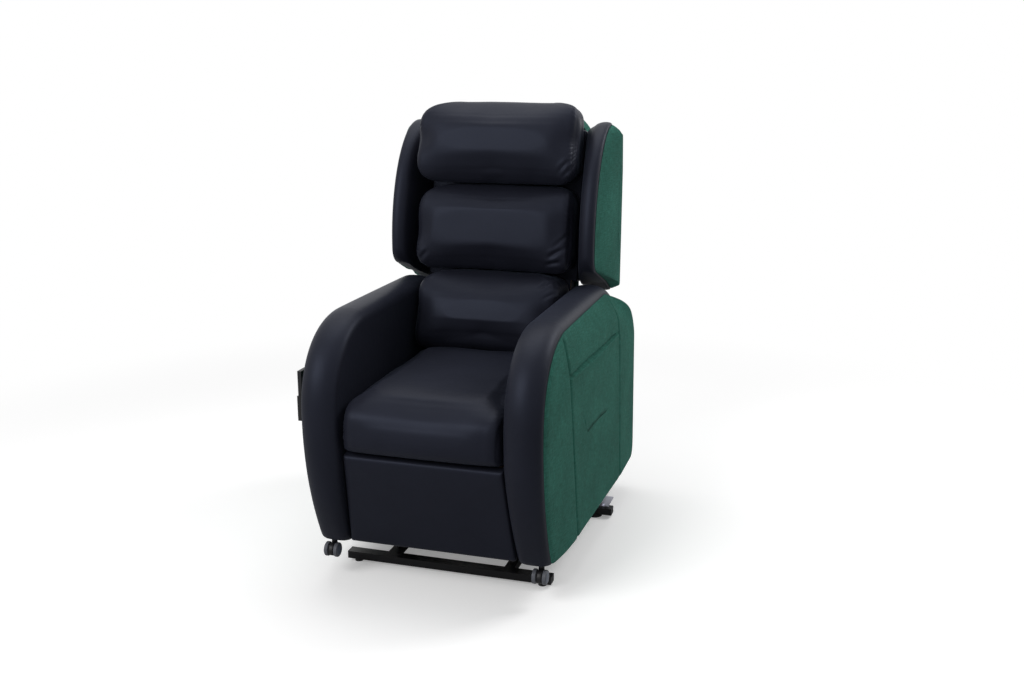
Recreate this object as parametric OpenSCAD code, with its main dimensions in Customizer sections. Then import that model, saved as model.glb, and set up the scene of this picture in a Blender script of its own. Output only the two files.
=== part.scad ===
/* [Seat] */
// Width of the seat cushion
seat_w = 414; // [394:1:434]
// Reach of the cushion's front bulge ahead of the chair's middle
seat_front = 476; // [466:1:478]
// Rear end of the cushion behind the chair's middle
seat_rear = 110; // [90:1:112]
// Top of the seat frame, on which the springs lie
seat_frame_top = 370; // [367:1:372]
// Height of the crowned cushion over the springs
seat_cushion_h = 151; // [130:1:153]
// Depth of the wooden seat rails
seat_rail_h = 25; // [22:1:27]

/* [Arms] */
// Gap between the seat cushion and each arm
arm_gap = 2; // [1:0.5:4]
// Width of the padded black band
arm_band_w = 96; // [90:1:104]
// Flare of the outer side panel beyond the band at its rear edge
arm_side_bulge = 43; // [36:1:46]
// Crown of the outer side panel beyond the band over its front
arm_side_crown = 17; // [14:1:20]
// Breadth of the band's rounded outer edge
arm_rim = 20; // [16:1:24]
// Height of the arm's top above the floor
arm_top = 693; // [675:1:697]
// Height of the arm's underside above the floor
arm_bottom = 114; // [108:1:118]
// Swell of the front facing ahead of the arm's outline
arm_swell = 10; // [0:1:14]
// Thickness of the plywood arm panel
arm_panel_t = 18; // [12:1:22]
// Height of the mouth of the side pocket
pocket_z = 556; // [530:1:580]
// Depth of the side pocket below its mouth
pocket_depth = 300; // [200:1:330]
// Room inside the pocket
pocket_gap = 8; // [6:0.5:12]

/* [Back] */
// Lean of the back board at rest, from upright
back_lean = 9.6; // [8.6:0.1:10.2]
// Length of the back board up its slope
back_board_h = 640; // [600:1:645]
// Thickness of the back board
back_board_t = 15; // [12:1:18]
// Width across the head and middle pillows
pillow_w = 440; // [424:1:444]
// Thickness of the lumbar pillow at its foot
lumbar_t = 186; // [170:1:190]
// Thickness of the middle pillow
middle_t = 140; // [125:1:150]
// Thickness of the head pillow
head_t = 152; // [135:1:160]
// Outer face of each wing's black band, from the mid-plane
wing_x = 292; // [284:1:300]
// Bulge of each wing's outer panel
wing_side_bulge = 24; // [20:1:30]

/* [Footrest] */
// Length of the footrest pad down its face
footrest_len = 261; // [240:1:264]
// Thickness of the footrest pad
footrest_pad_t = 33; // [28:1:33]
// Thickness of the footrest board
footrest_board_t = 12; // [10:1:12]

/* [Base] */
// Half length of the front floor tube
front_tube_x = 278; // [262:1:300]
// Half length of the rear floor tube
rear_tube_x = 334; // [328:1:345]
// Front-to-back width of the floor tubes
tube_w = 30; // [26:1:34]
// Height of the floor tubes
tube_h = 20; // [18:1:24]
// Wall of the floor tubes
tube_wall = 2; // [1.5:0.1:3]
// Height of the rubber feet
foot_h = 9; // [7:1:12]
// Diameter of the front feet
front_foot_d = 22; // [18:1:28]
// Diameter of the rear feet
rear_foot_d = 44; // [36:1:52]

/* [Mechanism] */
// Diameter of the lift pivot pins
lift_pin_d = 12; // [10:1:14]
// Diameter of the legrest pivot pins
leg_pin_d = 8; // [6:1:9]
// Diameter of the motor and back pins
motor_pin_d = 10; // [8:1:11]
// Radial clearance of a pin that turns in its bore
fit = 0.08; // [0.05:0.01:0.1]
// Radial clearance at an open pivot of the lift and legrest
open_fit = 1.5; // [1.2:0.1:2]
// Radial clearance in the motor rods' eyes
eye_fit = 3.5; // [3.2:0.1:4]
// Width of the lift links
lift_link_w = 26; // [22:1:28]
// Width of the legrest links
leg_link_w = 16; // [13:1:16]
// Diameter of the motor rods
rod_d = 14; // [12:1:15]
// Diameter of the motor tubes
motor_tube_d = 30; // [26:1:32]

/* [Castors] */
// Castor stems outward of each arm's inner face
castor_inset = 69; // [61:1:75]
// Castor stems ahead of and behind the middle
castor_y = 360; // [350:1:366]
// Diameter of a castor wheel
wheel_d = 38; // [34:1:40]
// Width of each of the twin wheels
wheel_w = 10; // [8:1:12]
// Trail of the axle from the stem
castor_trail = 12; // [10:1:14]
// Height of the castor's axle above the floor
axle_z = 76; // [74:1:80]

/* [Handset] */
// Length of the handset
handset_l = 125; // [115:1:140]
// Width of the handset
handset_w = 50; // [46:1:54]
// Thickness of the handset's case
handset_t = 10; // [9.5:0.1:10.4]

/* [Hidden] */
$fn = 48;

// Hairline gap between soft or covered neighbours
hair = 0.3;

// Pivots as [y, z]: the lift's links on the base and on the chassis
base_rear_pivot = [-120, 85];
base_front_pivot = [-198, 84];
seat_rear_pivot = [190, 75];
seat_front_pivot = [52, 77];
// The lift motor's clevis on the base and its lever on the torque tube
lift_motor_pivot = [210, 52];
lift_lever_pivot = [-102, 121];
// The back's hinge, its motor's clevis and its lever
back_hinge = [220, 420];
back_motor_pivot = [-180, 255];
back_lever_pivot = [240, 350];
// The legrest's arm, its control link and the carrier that both hold up
leg_arm_pivot = [-291, 330];
leg_control_pivot = [-231, 314];
leg_arm_tip = [-142, 150];
leg_control_tip = leg_arm_tip + leg_control_pivot - leg_arm_pivot;
board_pivot = [-332, 200];
// The follower link, parallel to the carrier
follower_step = [-30.6, 37];
follower_start = leg_arm_tip + follower_step;
follower_end = board_pivot + follower_step;
// The leg motor's line and the lever pin that its yoke drives
leg_rod_z = 284;
leg_lever_pin = [-250, 293];
leg_tube_axis = [-208, 230];
leg_tube_d = 22;

// Planes of the mechanism across the chair, from the mid-plane
rear_link_x = [150, 156];
plate_x = [158, 163];
front_link_x = [165, 171];
inner_leg_x = [175, 180];
outer_leg_x = [182, 187];
carrier_x = [189, 193];
back_arm_x = [189, 194];
back_motor_x = -60;
leg_motor_x = 60;
lift_tube_d = 32;
cross_tube_d = 22;

arm_in = seat_w / 2 + arm_gap;
arm_out = arm_in + arm_band_w;
castor_x = arm_in + castor_inset;
rail_bottom = seat_frame_top - seat_rail_h;
tube_top = foot_h + tube_h;
front_tube_y = -264;
rear_tube_y = 216;

module slab(x0, x1) {
    translate([x0, 0, 0]) rotate([90, 0, 90]) linear_extrude(x1 - x0) children();
}

module plane_slab(plane) {
    slab(plane[0], plane[1]) children();
}

module cross_rod(at, x0, x1, d) {
    translate([x0, at[0], at[1]]) rotate([0, 90, 0]) cylinder(h = x1 - x0, d = d);
}

module both_sides() {
    children();
    mirror([1, 0, 0]) children();
}

module block(x0, x1, y0, y1, z0, z1) {
    translate([x0, y0, z0]) cube([x1 - x0, y1 - y0, z1 - z0]);
}

// Flat bar from a to b with a round eye of width w at each end and a slimmer waist
bar_waist = 3;
module bar(a, b, w) {
    waist = w - bar_waist;
    translate(a) circle(d = w);
    translate(b) circle(d = w);
    translate(a) rotate(atan2(b[1] - a[1], b[0] - a[0])) translate([0, -waist / 2])
        square([norm(b - a), waist]);
}

module hole(at, d) {
    translate(at) circle(d = d);
}

// A pin with a head at its x1 end
module headed_pin(at, x0, x1, d, head) {
    cross_rod(at, x0, x1, d);
    cross_rod(at, x1 - head, x1, d + 6);
}

// Puts a shape that runs along +Y onto the line from a to b
module along(a, b) {
    translate([0, a[0], a[1]]) rotate([atan2(b[1] - a[1], b[0] - a[0]), 0, 0]) children();
}

// Signed power, the rule of a superellipse
function spow(v, n) = sign(v) * pow(abs(v), 2 / n);

// Quarter of a superellipse from angle a0 to a1, without its last point
function quarter(centre, a, b, n, a0, a1, steps) =
    [for (i = [0 : steps - 1]) let (t = a0 + (a1 - a0) * i / steps)
        [centre[0] + a * spow(cos(t), n), centre[1] + b * spow(sin(t), n)]];

// ---------------------------------------------------------------- base

module floor_tube(half, y) {
    difference() {
        block(-half, half, y - tube_w / 2, y + tube_w / 2, foot_h, tube_top);
        block(-half - 1, half + 1, y - tube_w / 2 + tube_wall, y + tube_w / 2 - tube_wall,
            foot_h + tube_wall, tube_top - tube_wall);
    }
}

module base_front_tube() {
    color("#15161a") floor_tube(front_tube_x, front_tube_y);
}

module base_rear_tube() {
    color("#15161a") floor_tube(rear_tube_x, rear_tube_y);
}

rail_x = [149, 175];
module base_rails() {
    color("#15161a") both_sides()
        block(rail_x[0], rail_x[1], front_tube_y + tube_w / 2, rear_tube_y - tube_w / 2, foot_h, tube_top);
}

cap_t = 3;
cap_plug = 12;
cap_play = 0.1;
module end_cap(x, y) {
    block(x, x + cap_t, y - tube_w / 2, y + tube_w / 2, foot_h, tube_top);
    inset = tube_wall + cap_play;
    block(x - cap_plug, x + 0.5, y - tube_w / 2 + inset, y + tube_w / 2 - inset,
        foot_h + inset, tube_top - inset);
}

module tube_end_caps() {
    color("#26272b") both_sides() {
        end_cap(front_tube_x, front_tube_y);
        end_cap(rear_tube_x, rear_tube_y);
    }
}

front_foot_x = 255;
rear_foot_x = 284;
foot_rim = 3;
module base_feet() {
    color("#1b1b1d") both_sides() {
        translate([front_foot_x, front_tube_y, 0]) cylinder(h = foot_h, d = front_foot_d);
        translate([rear_foot_x, rear_tube_y, 0]) {
            cylinder(h = foot_rim, d = rear_foot_d);
            translate([0, 0, foot_rim])
                cylinder(h = foot_h - foot_rim, d1 = rear_foot_d, d2 = rear_foot_d - 14, $fn = 60);
        }
    }
}

plate_t = 3;
plate_span = [200, 325];
plate_depth = [215, 292];
bolt_d = 12;
module rear_floor_plates() {
    color("#8f9296") both_sides() {
        block(plate_span[0], plate_span[1], plate_depth[0], plate_depth[1], tube_top, tube_top + plate_t);
        for (x = [plate_span[0] + 20, plate_span[1] - 20])
            translate([x, plate_depth[0] + 8, tube_top + plate_t]) cylinder(h = 5, d = bolt_d);
    }
}

bracket_y = [-222, -96];
bracket_top = 98;
clevis_in = 15.5;
clevis_out = 20;
clevis_w = 26;
module motor_clevis() {
    for (side = [-1, 1])
        slab(side > 0 ? clevis_in : -clevis_out, side > 0 ? clevis_out : -clevis_in) {
            hole(lift_motor_pivot, clevis_w);
            translate([lift_motor_pivot[0] - clevis_w / 2, tube_top])
                square([clevis_w, lift_motor_pivot[1] - tube_top]);
        }
    cross_rod(lift_motor_pivot, -clevis_out, clevis_out, motor_pin_d);
}

module lift_brackets() {
    color("#1d1e22") {
        both_sides() {
            plane_slab(plate_x)
                polygon([[bracket_y[0], tube_top], [bracket_y[1], tube_top], [bracket_y[1] - 4, bracket_top],
                    [bracket_y[0] + 8, bracket_top]]);
            cross_rod(base_rear_pivot, rear_link_x[0] - 3, plate_x[0], lift_pin_d);
            headed_pin(base_front_pivot, plate_x[1], front_link_x[1] + 2.5, lift_pin_d, 2);
        }
        motor_clevis();
    }
}

// ---------------------------------------------------------------- lift

module rear_lift_links() {
    color("#2a2b30") both_sides() plane_slab(rear_link_x) difference() {
        bar(base_rear_pivot, seat_rear_pivot, lift_link_w);
        hole(base_rear_pivot, lift_pin_d + 2 * fit);
        hole(seat_rear_pivot, lift_pin_d + 2 * fit);
    }
}

lever_in = 11;
lever_out = 16;
tube_bore = 24;
module lift_torque_tube() {
    color("#2a2b30") {
        difference() {
            cross_rod(base_rear_pivot, -rear_link_x[0], rear_link_x[0], lift_tube_d);
            cross_rod(base_rear_pivot, -rear_link_x[0] - 1, rear_link_x[0] + 1, tube_bore);
        }
        for (side = [-1, 1])
            slab(side > 0 ? lever_in : -lever_out, side > 0 ? lever_out : -lever_in) difference() {
                bar(base_rear_pivot, lift_lever_pivot, 24);
                hole(base_rear_pivot, lift_tube_d - 2);
            }
        cross_rod(lift_lever_pivot, -lever_out, lever_out, motor_pin_d);
    }
}

module front_lift_links() {
    color("#2a2b30") both_sides() plane_slab(front_link_x) difference() {
        bar(base_front_pivot, seat_front_pivot, lift_link_w);
        hole(base_front_pivot, lift_pin_d + 2 * fit);
        hole(seat_front_pivot, lift_pin_d + 2 * open_fit);
    }
}

// A linear motor on the line from its eye: gearbox, then tube of the given length
gearbox = [24, 104];
gearbox_half = 24;
gearbox_h = 26;
motor_eye_d = 28;
motor_eye_half = 15;
motor_neck = 10;
module linear_motor(length) {
    difference() {
        union() {
            cross_rod([0, 0], -motor_eye_half, motor_eye_half, motor_eye_d);
            block(-motor_eye_half, motor_eye_half, 0, gearbox[0] + 1, -motor_neck, motor_neck);
            block(-gearbox_half, gearbox_half, gearbox[0], gearbox[1], -gearbox_h, gearbox_h);
            translate([0, gearbox[1], 0]) rotate([-90, 0, 0]) cylinder(h = length - gearbox[1], d = motor_tube_d);
        }
        cross_rod([0, 0], -motor_eye_half - 1, motor_eye_half + 1, motor_pin_d + 2 * fit);
        translate([0, gearbox[1], 0]) rotate([-90, 0, 0]) cylinder(h = length, d = rod_d + 2 * fit);
    }
}

// The rod from inside the tube to an eye at the given distance
eye_d = 30;
eye_half = 9;
module motor_rod(start, reach) {
    difference() {
        union() {
            translate([0, start, 0]) rotate([-90, 0, 0]) cylinder(h = reach - start, d = rod_d);
            cross_rod([reach, 0], -eye_half, eye_half, eye_d);
        }
        cross_rod([reach, 0], -eye_half - 1, eye_half + 1, motor_pin_d + 2 * eye_fit);
    }
}

lift_reach = norm(lift_lever_pivot - lift_motor_pivot);
back_reach = norm(back_lever_pivot - back_motor_pivot);
lift_rod_start = 110;
back_rod_start = 160;

module lift_motor() {
    color("#3a3c42") along(lift_motor_pivot, lift_lever_pivot) linear_motor(lift_reach - 40);
}

module lift_rod() {
    color("#b9bcc0") along(lift_motor_pivot, lift_lever_pivot) motor_rod(lift_rod_start, lift_reach);
}

// Part of the back motor's reach that its case leaves free
back_motor_head = 180;

module back_motor() {
    color("#3a3c42") translate([back_motor_x, 0, 0])
        along(back_motor_pivot, back_lever_pivot) linear_motor(back_reach - back_motor_head);
}

module back_rod() {
    color("#b9bcc0") translate([back_motor_x, 0, 0])
        along(back_motor_pivot, back_lever_pivot) motor_rod(back_rod_start, back_reach);
}

// ---------------------------------------------------------------- chassis

lift_plate_y = [[30, 210], [38, 206]];
lift_plate_foot = 62;
leg_plate_front = leg_arm_pivot[0] - 25;
leg_plate_rear = leg_control_pivot[0] + 71;
hinge_eye_d = 30;
module mechanism_plates() {
    color("#2a2b30") both_sides() {
        plane_slab(plate_x) polygon([[lift_plate_y[0][0], rail_bottom], [lift_plate_y[0][1], rail_bottom],
                [lift_plate_y[1][1], lift_plate_foot], [lift_plate_y[1][0], lift_plate_foot]]);
        cross_rod(seat_rear_pivot, rear_link_x[0] - 3, plate_x[0], lift_pin_d);
        headed_pin(seat_front_pivot, plate_x[1], front_link_x[1] + 2.5, lift_pin_d, 2);
        plane_slab(inner_leg_x) polygon([[leg_plate_front, rail_bottom], [leg_plate_rear, rail_bottom],
            [leg_plate_rear, leg_control_pivot[1] - 10], leg_control_pivot + [21, -22],
            leg_arm_pivot + [-15, -22], [leg_plate_front, leg_arm_pivot[1] - 8]]);
        for (p = [leg_arm_pivot, leg_control_pivot])
            cross_rod(p, inner_leg_x[1], outer_leg_x[1] + 1, leg_pin_d);
        plane_slab(outer_leg_x) {
            hole(back_hinge, hinge_eye_d);
            translate([back_hinge[0] - hinge_eye_d / 2, seat_frame_top])
                square([hinge_eye_d, back_hinge[1] - seat_frame_top]);
        }
        cross_rod(back_hinge, outer_leg_x[1], back_arm_x[1] + 1, motor_pin_d);
    }
}

cross_tube_at = [180, 160];
mid_tube_at = [62, 180];
front_tube_at = [back_motor_pivot[0], rail_bottom - cross_tube_d / 2 - 12];
back_clevis_w = 24;
module mechanism_cross_tubes() {
    color("#2a2b30") {
        for (p = [cross_tube_at, mid_tube_at]) cross_rod(p, -plate_x[0], plate_x[0], cross_tube_d);
        cross_rod(front_tube_at, -inner_leg_x[0], inner_leg_x[0], cross_tube_d);
        for (x = [back_motor_x - clevis_out, back_motor_x + clevis_in])
            slab(x, x + clevis_out - clevis_in) bar(front_tube_at, back_motor_pivot, back_clevis_w);
        cross_rod(back_motor_pivot, back_motor_x - clevis_out, back_motor_x + clevis_out, motor_pin_d);
    }
}

side_rail_x = [150, arm_in - hair];
seat_rail_front = -390;
side_rail_rear = 250;
module seat_side_rails() {
    color("#b08d5f") both_sides()
        block(side_rail_x[0], side_rail_x[1], seat_rail_front, side_rail_rear, rail_bottom, seat_frame_top);
}

cross_rail_w = 40;
rear_rail_y = 72;
module seat_cross_rails() {
    color("#b08d5f") {
        block(-side_rail_x[0], side_rail_x[0], seat_rail_front, seat_rail_front + cross_rail_w,
            rail_bottom, seat_frame_top);
        block(-side_rail_x[0], side_rail_x[0], rear_rail_y, rear_rail_y + cross_rail_w,
            rail_bottom, seat_frame_top);
    }
}

spring_count = 5;
spring_pitch = 62;
spring_wave = 25;
spring_amp = 20;
spring_wire = 3;
spring_ends = [seat_rail_front + 12, rear_rail_y + cross_rail_w - 12];
spring_waves = 2 * floor((spring_ends[1] - spring_ends[0]) / spring_wave / 2);
function spring_side(i) = (i % 2 == 0 ? 1 : -1) * spring_amp;
module zigzag() {
    step = (spring_ends[1] - spring_ends[0]) / spring_waves;
    left = [for (i = [0 : spring_waves]) [spring_side(i) - spring_wire, spring_ends[0] + i * step]];
    right = [for (i = [spring_waves : -1 : 0]) [spring_side(i) + spring_wire, spring_ends[0] + i * step]];
    polygon(concat(left, right));
}

module seat_springs() {
    color("#8c8f93") for (i = [0 : spring_count - 1])
        translate([(i - (spring_count - 1) / 2) * spring_pitch, 0, seat_frame_top])
            linear_extrude(spring_wire) zigzag();
}

// A padded form on a flat base: section in [rise, run], drawn in towards both ends.
// rise is the thickness over the base, and run goes from run0 to run1.
pad_ring = 26;
pad_stations = 16;
function pad_point(i, j, rise, taper, run0, run1, half, end) =
    let (t = -90 + 180 * j / pad_stations,
        x = half * sin(t),
        s = end + (1 - end) * pow(1 - pow(abs(sin(t)), 4), 0.5),
        a = 360 * i / pad_ring,
        front = cos(a) > 0,
        c = spow(cos(a), front ? 3 : 7),
        w = spow(sin(a), front ? 3.4 : 7),
        run = (run0 + run1) / 2 + (run1 - run0) / 2 * w * (0.4 + 0.6 * s),
        high = rise * (1 + taper * (run - run0) / (run1 - run0)) * (0.5 + 0.5 * c))
    [x, run, high * s];

module pad_form(rise, taper, run0, run1, half, end) {
    n = pad_ring;
    points = [for (j = [0 : pad_stations]) for (i = [0 : n - 1])
        pad_point(i, j, rise, taper, run0, run1, half, end)];
    sides = [for (j = [0 : pad_stations - 1]) for (i = [0 : n - 1])
        let (a = j * n + i, b = j * n + (i + 1) % n)
        for (f = [[a, b, b + n], [a, b + n, a + n]]) f];
    top = pad_stations * n;
    caps = [for (i = [1 : n - 2]) for (f = [[0, i + 1, i], [top, top + i, top + i + 1]]) f];
    polyhedron(points, concat(sides, caps), 8);
}

module seat_cushion() {
    color("#23252b") translate([0, 0, seat_frame_top + spring_wire + hair])
        pad_form(seat_cushion_h, -0.03, -seat_front, seat_rear, seat_w / 2, 0.9);
}

// Outline of an arm in [y, z], swollen by f ahead and by t upwards, cut in by inset all round
// and by low at its foot
arm_front_y = 231;
arm_front_r = 243;
arm_rear_y = 180;
arm_rear_r = 270;
arm_rear_z = 500;
arm_heel = 476;
// A length past every part of an arm, for cuts
far = 2 * arm_heel;
arm_nose_z = 450;
arm_toe = 389;
function arm_nose(f, inset) = arm_front_y + arm_front_r + f - inset;
function arm_outline(f, t, inset, low) =
    let (top = arm_top + t - inset,
        foot = arm_bottom + low,
        drop = arm_nose_z - arm_bottom,
        lean = arm_front_y + arm_front_r - arm_toe)
    concat(
        [for (i = [0 : 7]) let (u = 1 - i / 8)
            [-arm_nose(f * (1 - u * u), inset) + lean * u * u, arm_nose_z - (arm_nose_z - foot) * u]],
        quarter([-arm_front_y, arm_nose_z], arm_front_r + f - inset, top - arm_nose_z, 2.35, 180, 90, 12),
        quarter([arm_rear_y, arm_rear_z], arm_rear_r - inset, top - arm_rear_z, 1.5, 90, 0, 12),
        [[arm_rear_y + arm_rear_r - inset, arm_rear_z], [arm_heel - inset, foot]]);

// Thickness of a slice from which a padded form is hulled
slice_t = 0.5;
module arm_slice(x, f, t, inset, low) {
    slab(x, x + slice_t) polygon(arm_outline(f, t, inset, low));
}

arm_panel_x = arm_in + 43;
arm_panel_inset = 46;
arm_rail_x = [-22, 16];
arm_rail_h = 30;
arm_rail_y = [-378, 430];
stem_d = 11;
stem_fit = 0.1;
stem_h = 26;
module arm_frame_shape(play) {
    slab(arm_panel_x - play, arm_panel_x + arm_panel_t + play) 
        polygon(arm_outline(0, 0, arm_panel_inset - play, arm_panel_inset - play));
    block(castor_x + arm_rail_x[0] - play, castor_x + arm_rail_x[1] + play, arm_rail_y[0] - play,
        arm_rail_y[1] + play, arm_bottom - play, arm_bottom + arm_rail_h + play);
    block(arm_panel_x - play, arm_panel_x + arm_panel_t + play, arm_rail_y[0] + 40 - play,
        arm_rail_y[1] - 40 + play, arm_bottom - play, arm_bottom + arm_panel_inset + 1);
}

module arm_frame() {
    color("#b08d5f") difference() {
        arm_frame_shape(0);
        for (y = [-castor_y, castor_y])
            translate([castor_x, y, arm_bottom - 1]) cylinder(h = stem_h + 2, d = stem_d + 2 * stem_fit);
    }
}

splay = 15;
module arm_pad() {
    color("#1d1f25") difference() {
        hull() {
            arm_slice(arm_in, 0, 0, 5, 3);
            arm_slice(arm_in + 8, 2, 1, 0, 0);
            arm_slice(arm_in + arm_band_w / 2, arm_swell, 4, 0, 0);
            arm_slice(arm_out - arm_rim - 2, 4, 1.5, 0, 0);
            arm_slice(arm_out - arm_rim * 0.4, 1, 0.4, arm_rim * 0.3, 0);
            arm_slice(arm_out - slice_t, 0, 0, arm_rim, 2);
        }
        arm_frame_shape(hair);
        rotate([90, 0, 0]) translate([0, 0, -far]) linear_extrude(2 * far)
            polygon([[arm_in - 1, seat_frame_top], [arm_in, seat_frame_top],
                [arm_in + splay, arm_bottom - 1], [arm_in - 1, arm_bottom - 1]]);
    }
}

// Seams of the side panel as [y, z], lower end and upper end
front_seam = [[-192, 120], [-293, 640]];
rear_seam = [[264, 110], [206, 700]];
seam_over = [30, 60];
seam_gap = 0.6;
pocket_mouth = 6;
// Rise of the side panel over the band by the distance inside the arm's outline
side_strip = [arm_rim + 30, 7];
side_crown = [arm_rim + 110, arm_side_crown];
function side_rise(inset) = lookup(inset, [[arm_rim + 1, hair], side_strip, side_crown]);
// The flare at the panel's rear edge: its inset, where it starts and how high it reaches
flare_rim = 8;
flare_y = 300;
flare_top = 610;
module side_bulge() {
    hull() {
        arm_slice(arm_out + hair, 0, 0, arm_rim + 1, 2);
        arm_slice(arm_out + side_strip[1], 0, 0, side_strip[0], 4);
        arm_slice(arm_out + side_crown[1], 0, 0, side_crown[0], 40);
        slab(arm_out + arm_side_bulge - slice_t, arm_out + arm_side_bulge) intersection() {
            polygon(arm_outline(0, 0, flare_rim, flare_rim));
            translate([flare_y, 0]) square([far, flare_top]);
        }
    }
}

module ahead_of(seam, gap) {
    slab(arm_out - 1, arm_out + arm_side_bulge + 5)
        polygon([[seam[0][0] - gap, seam[0][1] - seam_over[0]], [seam[1][0] - gap, seam[1][1] + seam_over[1]],
            [-far, seam[1][1] + seam_over[1]], [-far, seam[0][1] - seam_over[0]]]);
}

pocket_wall = 12;
pocket_floor_h = 14;
module arm_side() {
    pocket_x = arm_out + hair + pocket_gap;
    color("#2f5f54") {
        intersection() {
            side_bulge();
            ahead_of(front_seam, seam_gap / 2);
        }
        difference() {
            side_bulge();
            ahead_of(rear_seam, -seam_gap / 2);
        }
        difference() {
            intersection() {
                side_bulge();
                ahead_of(rear_seam, seam_gap / 2);
            }
            ahead_of(front_seam, -seam_gap / 2);
            block(arm_out - 1, arm_out + arm_side_bulge + 5, -far, far, pocket_z, pocket_z + pocket_mouth);
            block(arm_out - 1, pocket_x, -far, far, arm_bottom - 1, pocket_z + 1);
        }
        block(arm_out + hair, pocket_x - hair, front_seam[0][0] + 30, rear_seam[0][0] - 60,
            pocket_z - pocket_depth - pocket_floor_h, pocket_z - pocket_depth);
    }
}

rear_cover_y = [428, 440];
rear_cover_z = [126, 468];
module rear_cover() {
    color("#2f5f54")
        block(-arm_in + hair, arm_in - hair, rear_cover_y[0], rear_cover_y[1], rear_cover_z[0], rear_cover_z[1]);
}

control_x = 26;
control_y = [20, 108];
control_z = 298;
inlet = [18, 8, 10];
module control_box() {
    color("#2b2c30") difference() {
        block(-control_x, control_x, control_y[0], control_y[1], control_z, rail_bottom);
        block(-inlet[0] / 2, inlet[0] / 2, control_y[1] - inlet[1], control_y[1] + 1,
            control_z + 14, control_z + 14 + inlet[2]);
    }
}

leg_tube_front = -200;
leg_gear_y = [50, 118];
gearbox_rise = 28;
// The leg motor's hanger behind the rear rail
leg_hanger = [8, 30];
module leg_motor() {
    color("#3a3c42") translate([leg_motor_x, 0, 0]) {
        difference() {
            union() {
                translate([0, leg_tube_front, leg_rod_z]) rotate([-90, 0, 0])
                    cylinder(h = leg_gear_y[0] - leg_tube_front, d = motor_tube_d);
                block(-gearbox_half, gearbox_half, leg_gear_y[0], leg_gear_y[1], leg_rod_z - gearbox_rise, leg_rod_z + gearbox_rise);
            }
            translate([0, leg_tube_front - 1, leg_rod_z]) rotate([-90, 0, 0])
                cylinder(h = leg_gear_y[0] - leg_tube_front + 1, d = rod_d + 2 * fit);
        }
        block(-12, 12, rear_rail_y + leg_hanger[0], rear_rail_y + leg_hanger[1], leg_rod_z + gearbox_rise, rail_bottom);
    }
}

// ---------------------------------------------------------------- legrest

module leg_arms() {
    color("#2a2b30") both_sides() {
        plane_slab(outer_leg_x) difference() {
            bar(leg_arm_pivot, leg_arm_tip, leg_link_w);
            hole(leg_arm_pivot, leg_pin_d + 2 * fit);
        }
        plane_slab(outer_leg_x) difference() {
            hole(leg_tube_axis, leg_tube_d + 8);
            hole(leg_arm_pivot, leg_pin_d + 2 * fit);
        }
        cross_rod(leg_arm_tip, outer_leg_x[1], carrier_x[1] + 1, leg_pin_d);
        cross_rod(follower_start, inner_leg_x[0] - 1, outer_leg_x[0], leg_pin_d);
    }
}

lever_gap = 8;
lever_t = 5;
module leg_torque_tube() {
    color("#2a2b30") {
        cross_rod(leg_tube_axis, -outer_leg_x[0], outer_leg_x[0], leg_tube_d);
        for (x = [leg_motor_x - lever_gap - lever_t, leg_motor_x + lever_gap])
            slab(x, x + lever_t) bar(leg_tube_axis, leg_lever_pin, 20);
        cross_rod(leg_lever_pin, leg_motor_x - lever_gap - lever_t, leg_motor_x + lever_gap + lever_t, motor_pin_d);
    }
}

module leg_control_links() {
    color("#2a2b30") both_sides() plane_slab(outer_leg_x) difference() {
        bar(leg_control_pivot, leg_control_tip, leg_link_w);
        hole(leg_control_pivot, leg_pin_d + 2 * fit);
        hole(leg_control_tip, leg_pin_d + 2 * open_fit);
    }
}

module leg_carriers() {
    color("#2a2b30") both_sides() {
        plane_slab(carrier_x) difference() {
            union() {
                bar(board_pivot, leg_arm_tip, leg_link_w);
                bar(leg_arm_tip, leg_control_tip, leg_link_w);
            }
            hole(leg_arm_tip, leg_pin_d + 2 * fit);
        }
        cross_rod(board_pivot, outer_leg_x[0] - 1, carrier_x[0], leg_pin_d);
        cross_rod(leg_control_tip, outer_leg_x[0] - 1, carrier_x[0], leg_pin_d);
    }
}

module leg_follower_links() {
    color("#2a2b30") both_sides() plane_slab(inner_leg_x) difference() {
        bar(follower_start, follower_end, leg_link_w);
        hole(follower_start, leg_pin_d + 2 * fit);
        hole(follower_end, leg_pin_d + 2 * open_fit);
    }
}

yoke_half = 4;
slot = [motor_pin_d + 4.5, 34];
leg_rod_length = 200;
module leg_rod() {
    yoke_y = leg_lever_pin[0];
    color("#b9bcc0") translate([leg_motor_x, 0, 0]) {
        slab(-yoke_half, yoke_half) difference() {
            translate([yoke_y - slot[0] / 2 - 8, leg_rod_z - slot[1] / 2 - 8]) square([slot[0] + 16, slot[1] + 16]);
            translate([yoke_y - slot[0] / 2, leg_rod_z - slot[1] / 2]) square(slot);
        }
        translate([0, yoke_y + slot[0] / 2 + 2, leg_rod_z]) rotate([-90, 0, 0])
            cylinder(h = leg_rod_length, d = rod_d);
    }
}

// The footrest's own frame: origin at the top of its face, +Y down the face, +Z out of it
footrest_top = [-449, 364];
footrest_foot = [-389, 110];
footrest_slope = atan2(footrest_foot[1] - footrest_top[1], footrest_foot[0] - footrest_top[0]);
footrest_gap = [3, 4];
footrest_half = [arm_in - footrest_gap[0], arm_in + splay - footrest_gap[1]];
module on_footrest() {
    translate([0, footrest_top[0], footrest_top[1]]) rotate([footrest_slope, 0, 0]) children();
}

module footrest_outline(inset) {
    polygon([[-footrest_half[0] + inset, inset], [footrest_half[0] - inset, inset],
        [footrest_half[1] - inset, footrest_len - inset], [-footrest_half[1] + inset, footrest_len - inset]]);
}

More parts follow.
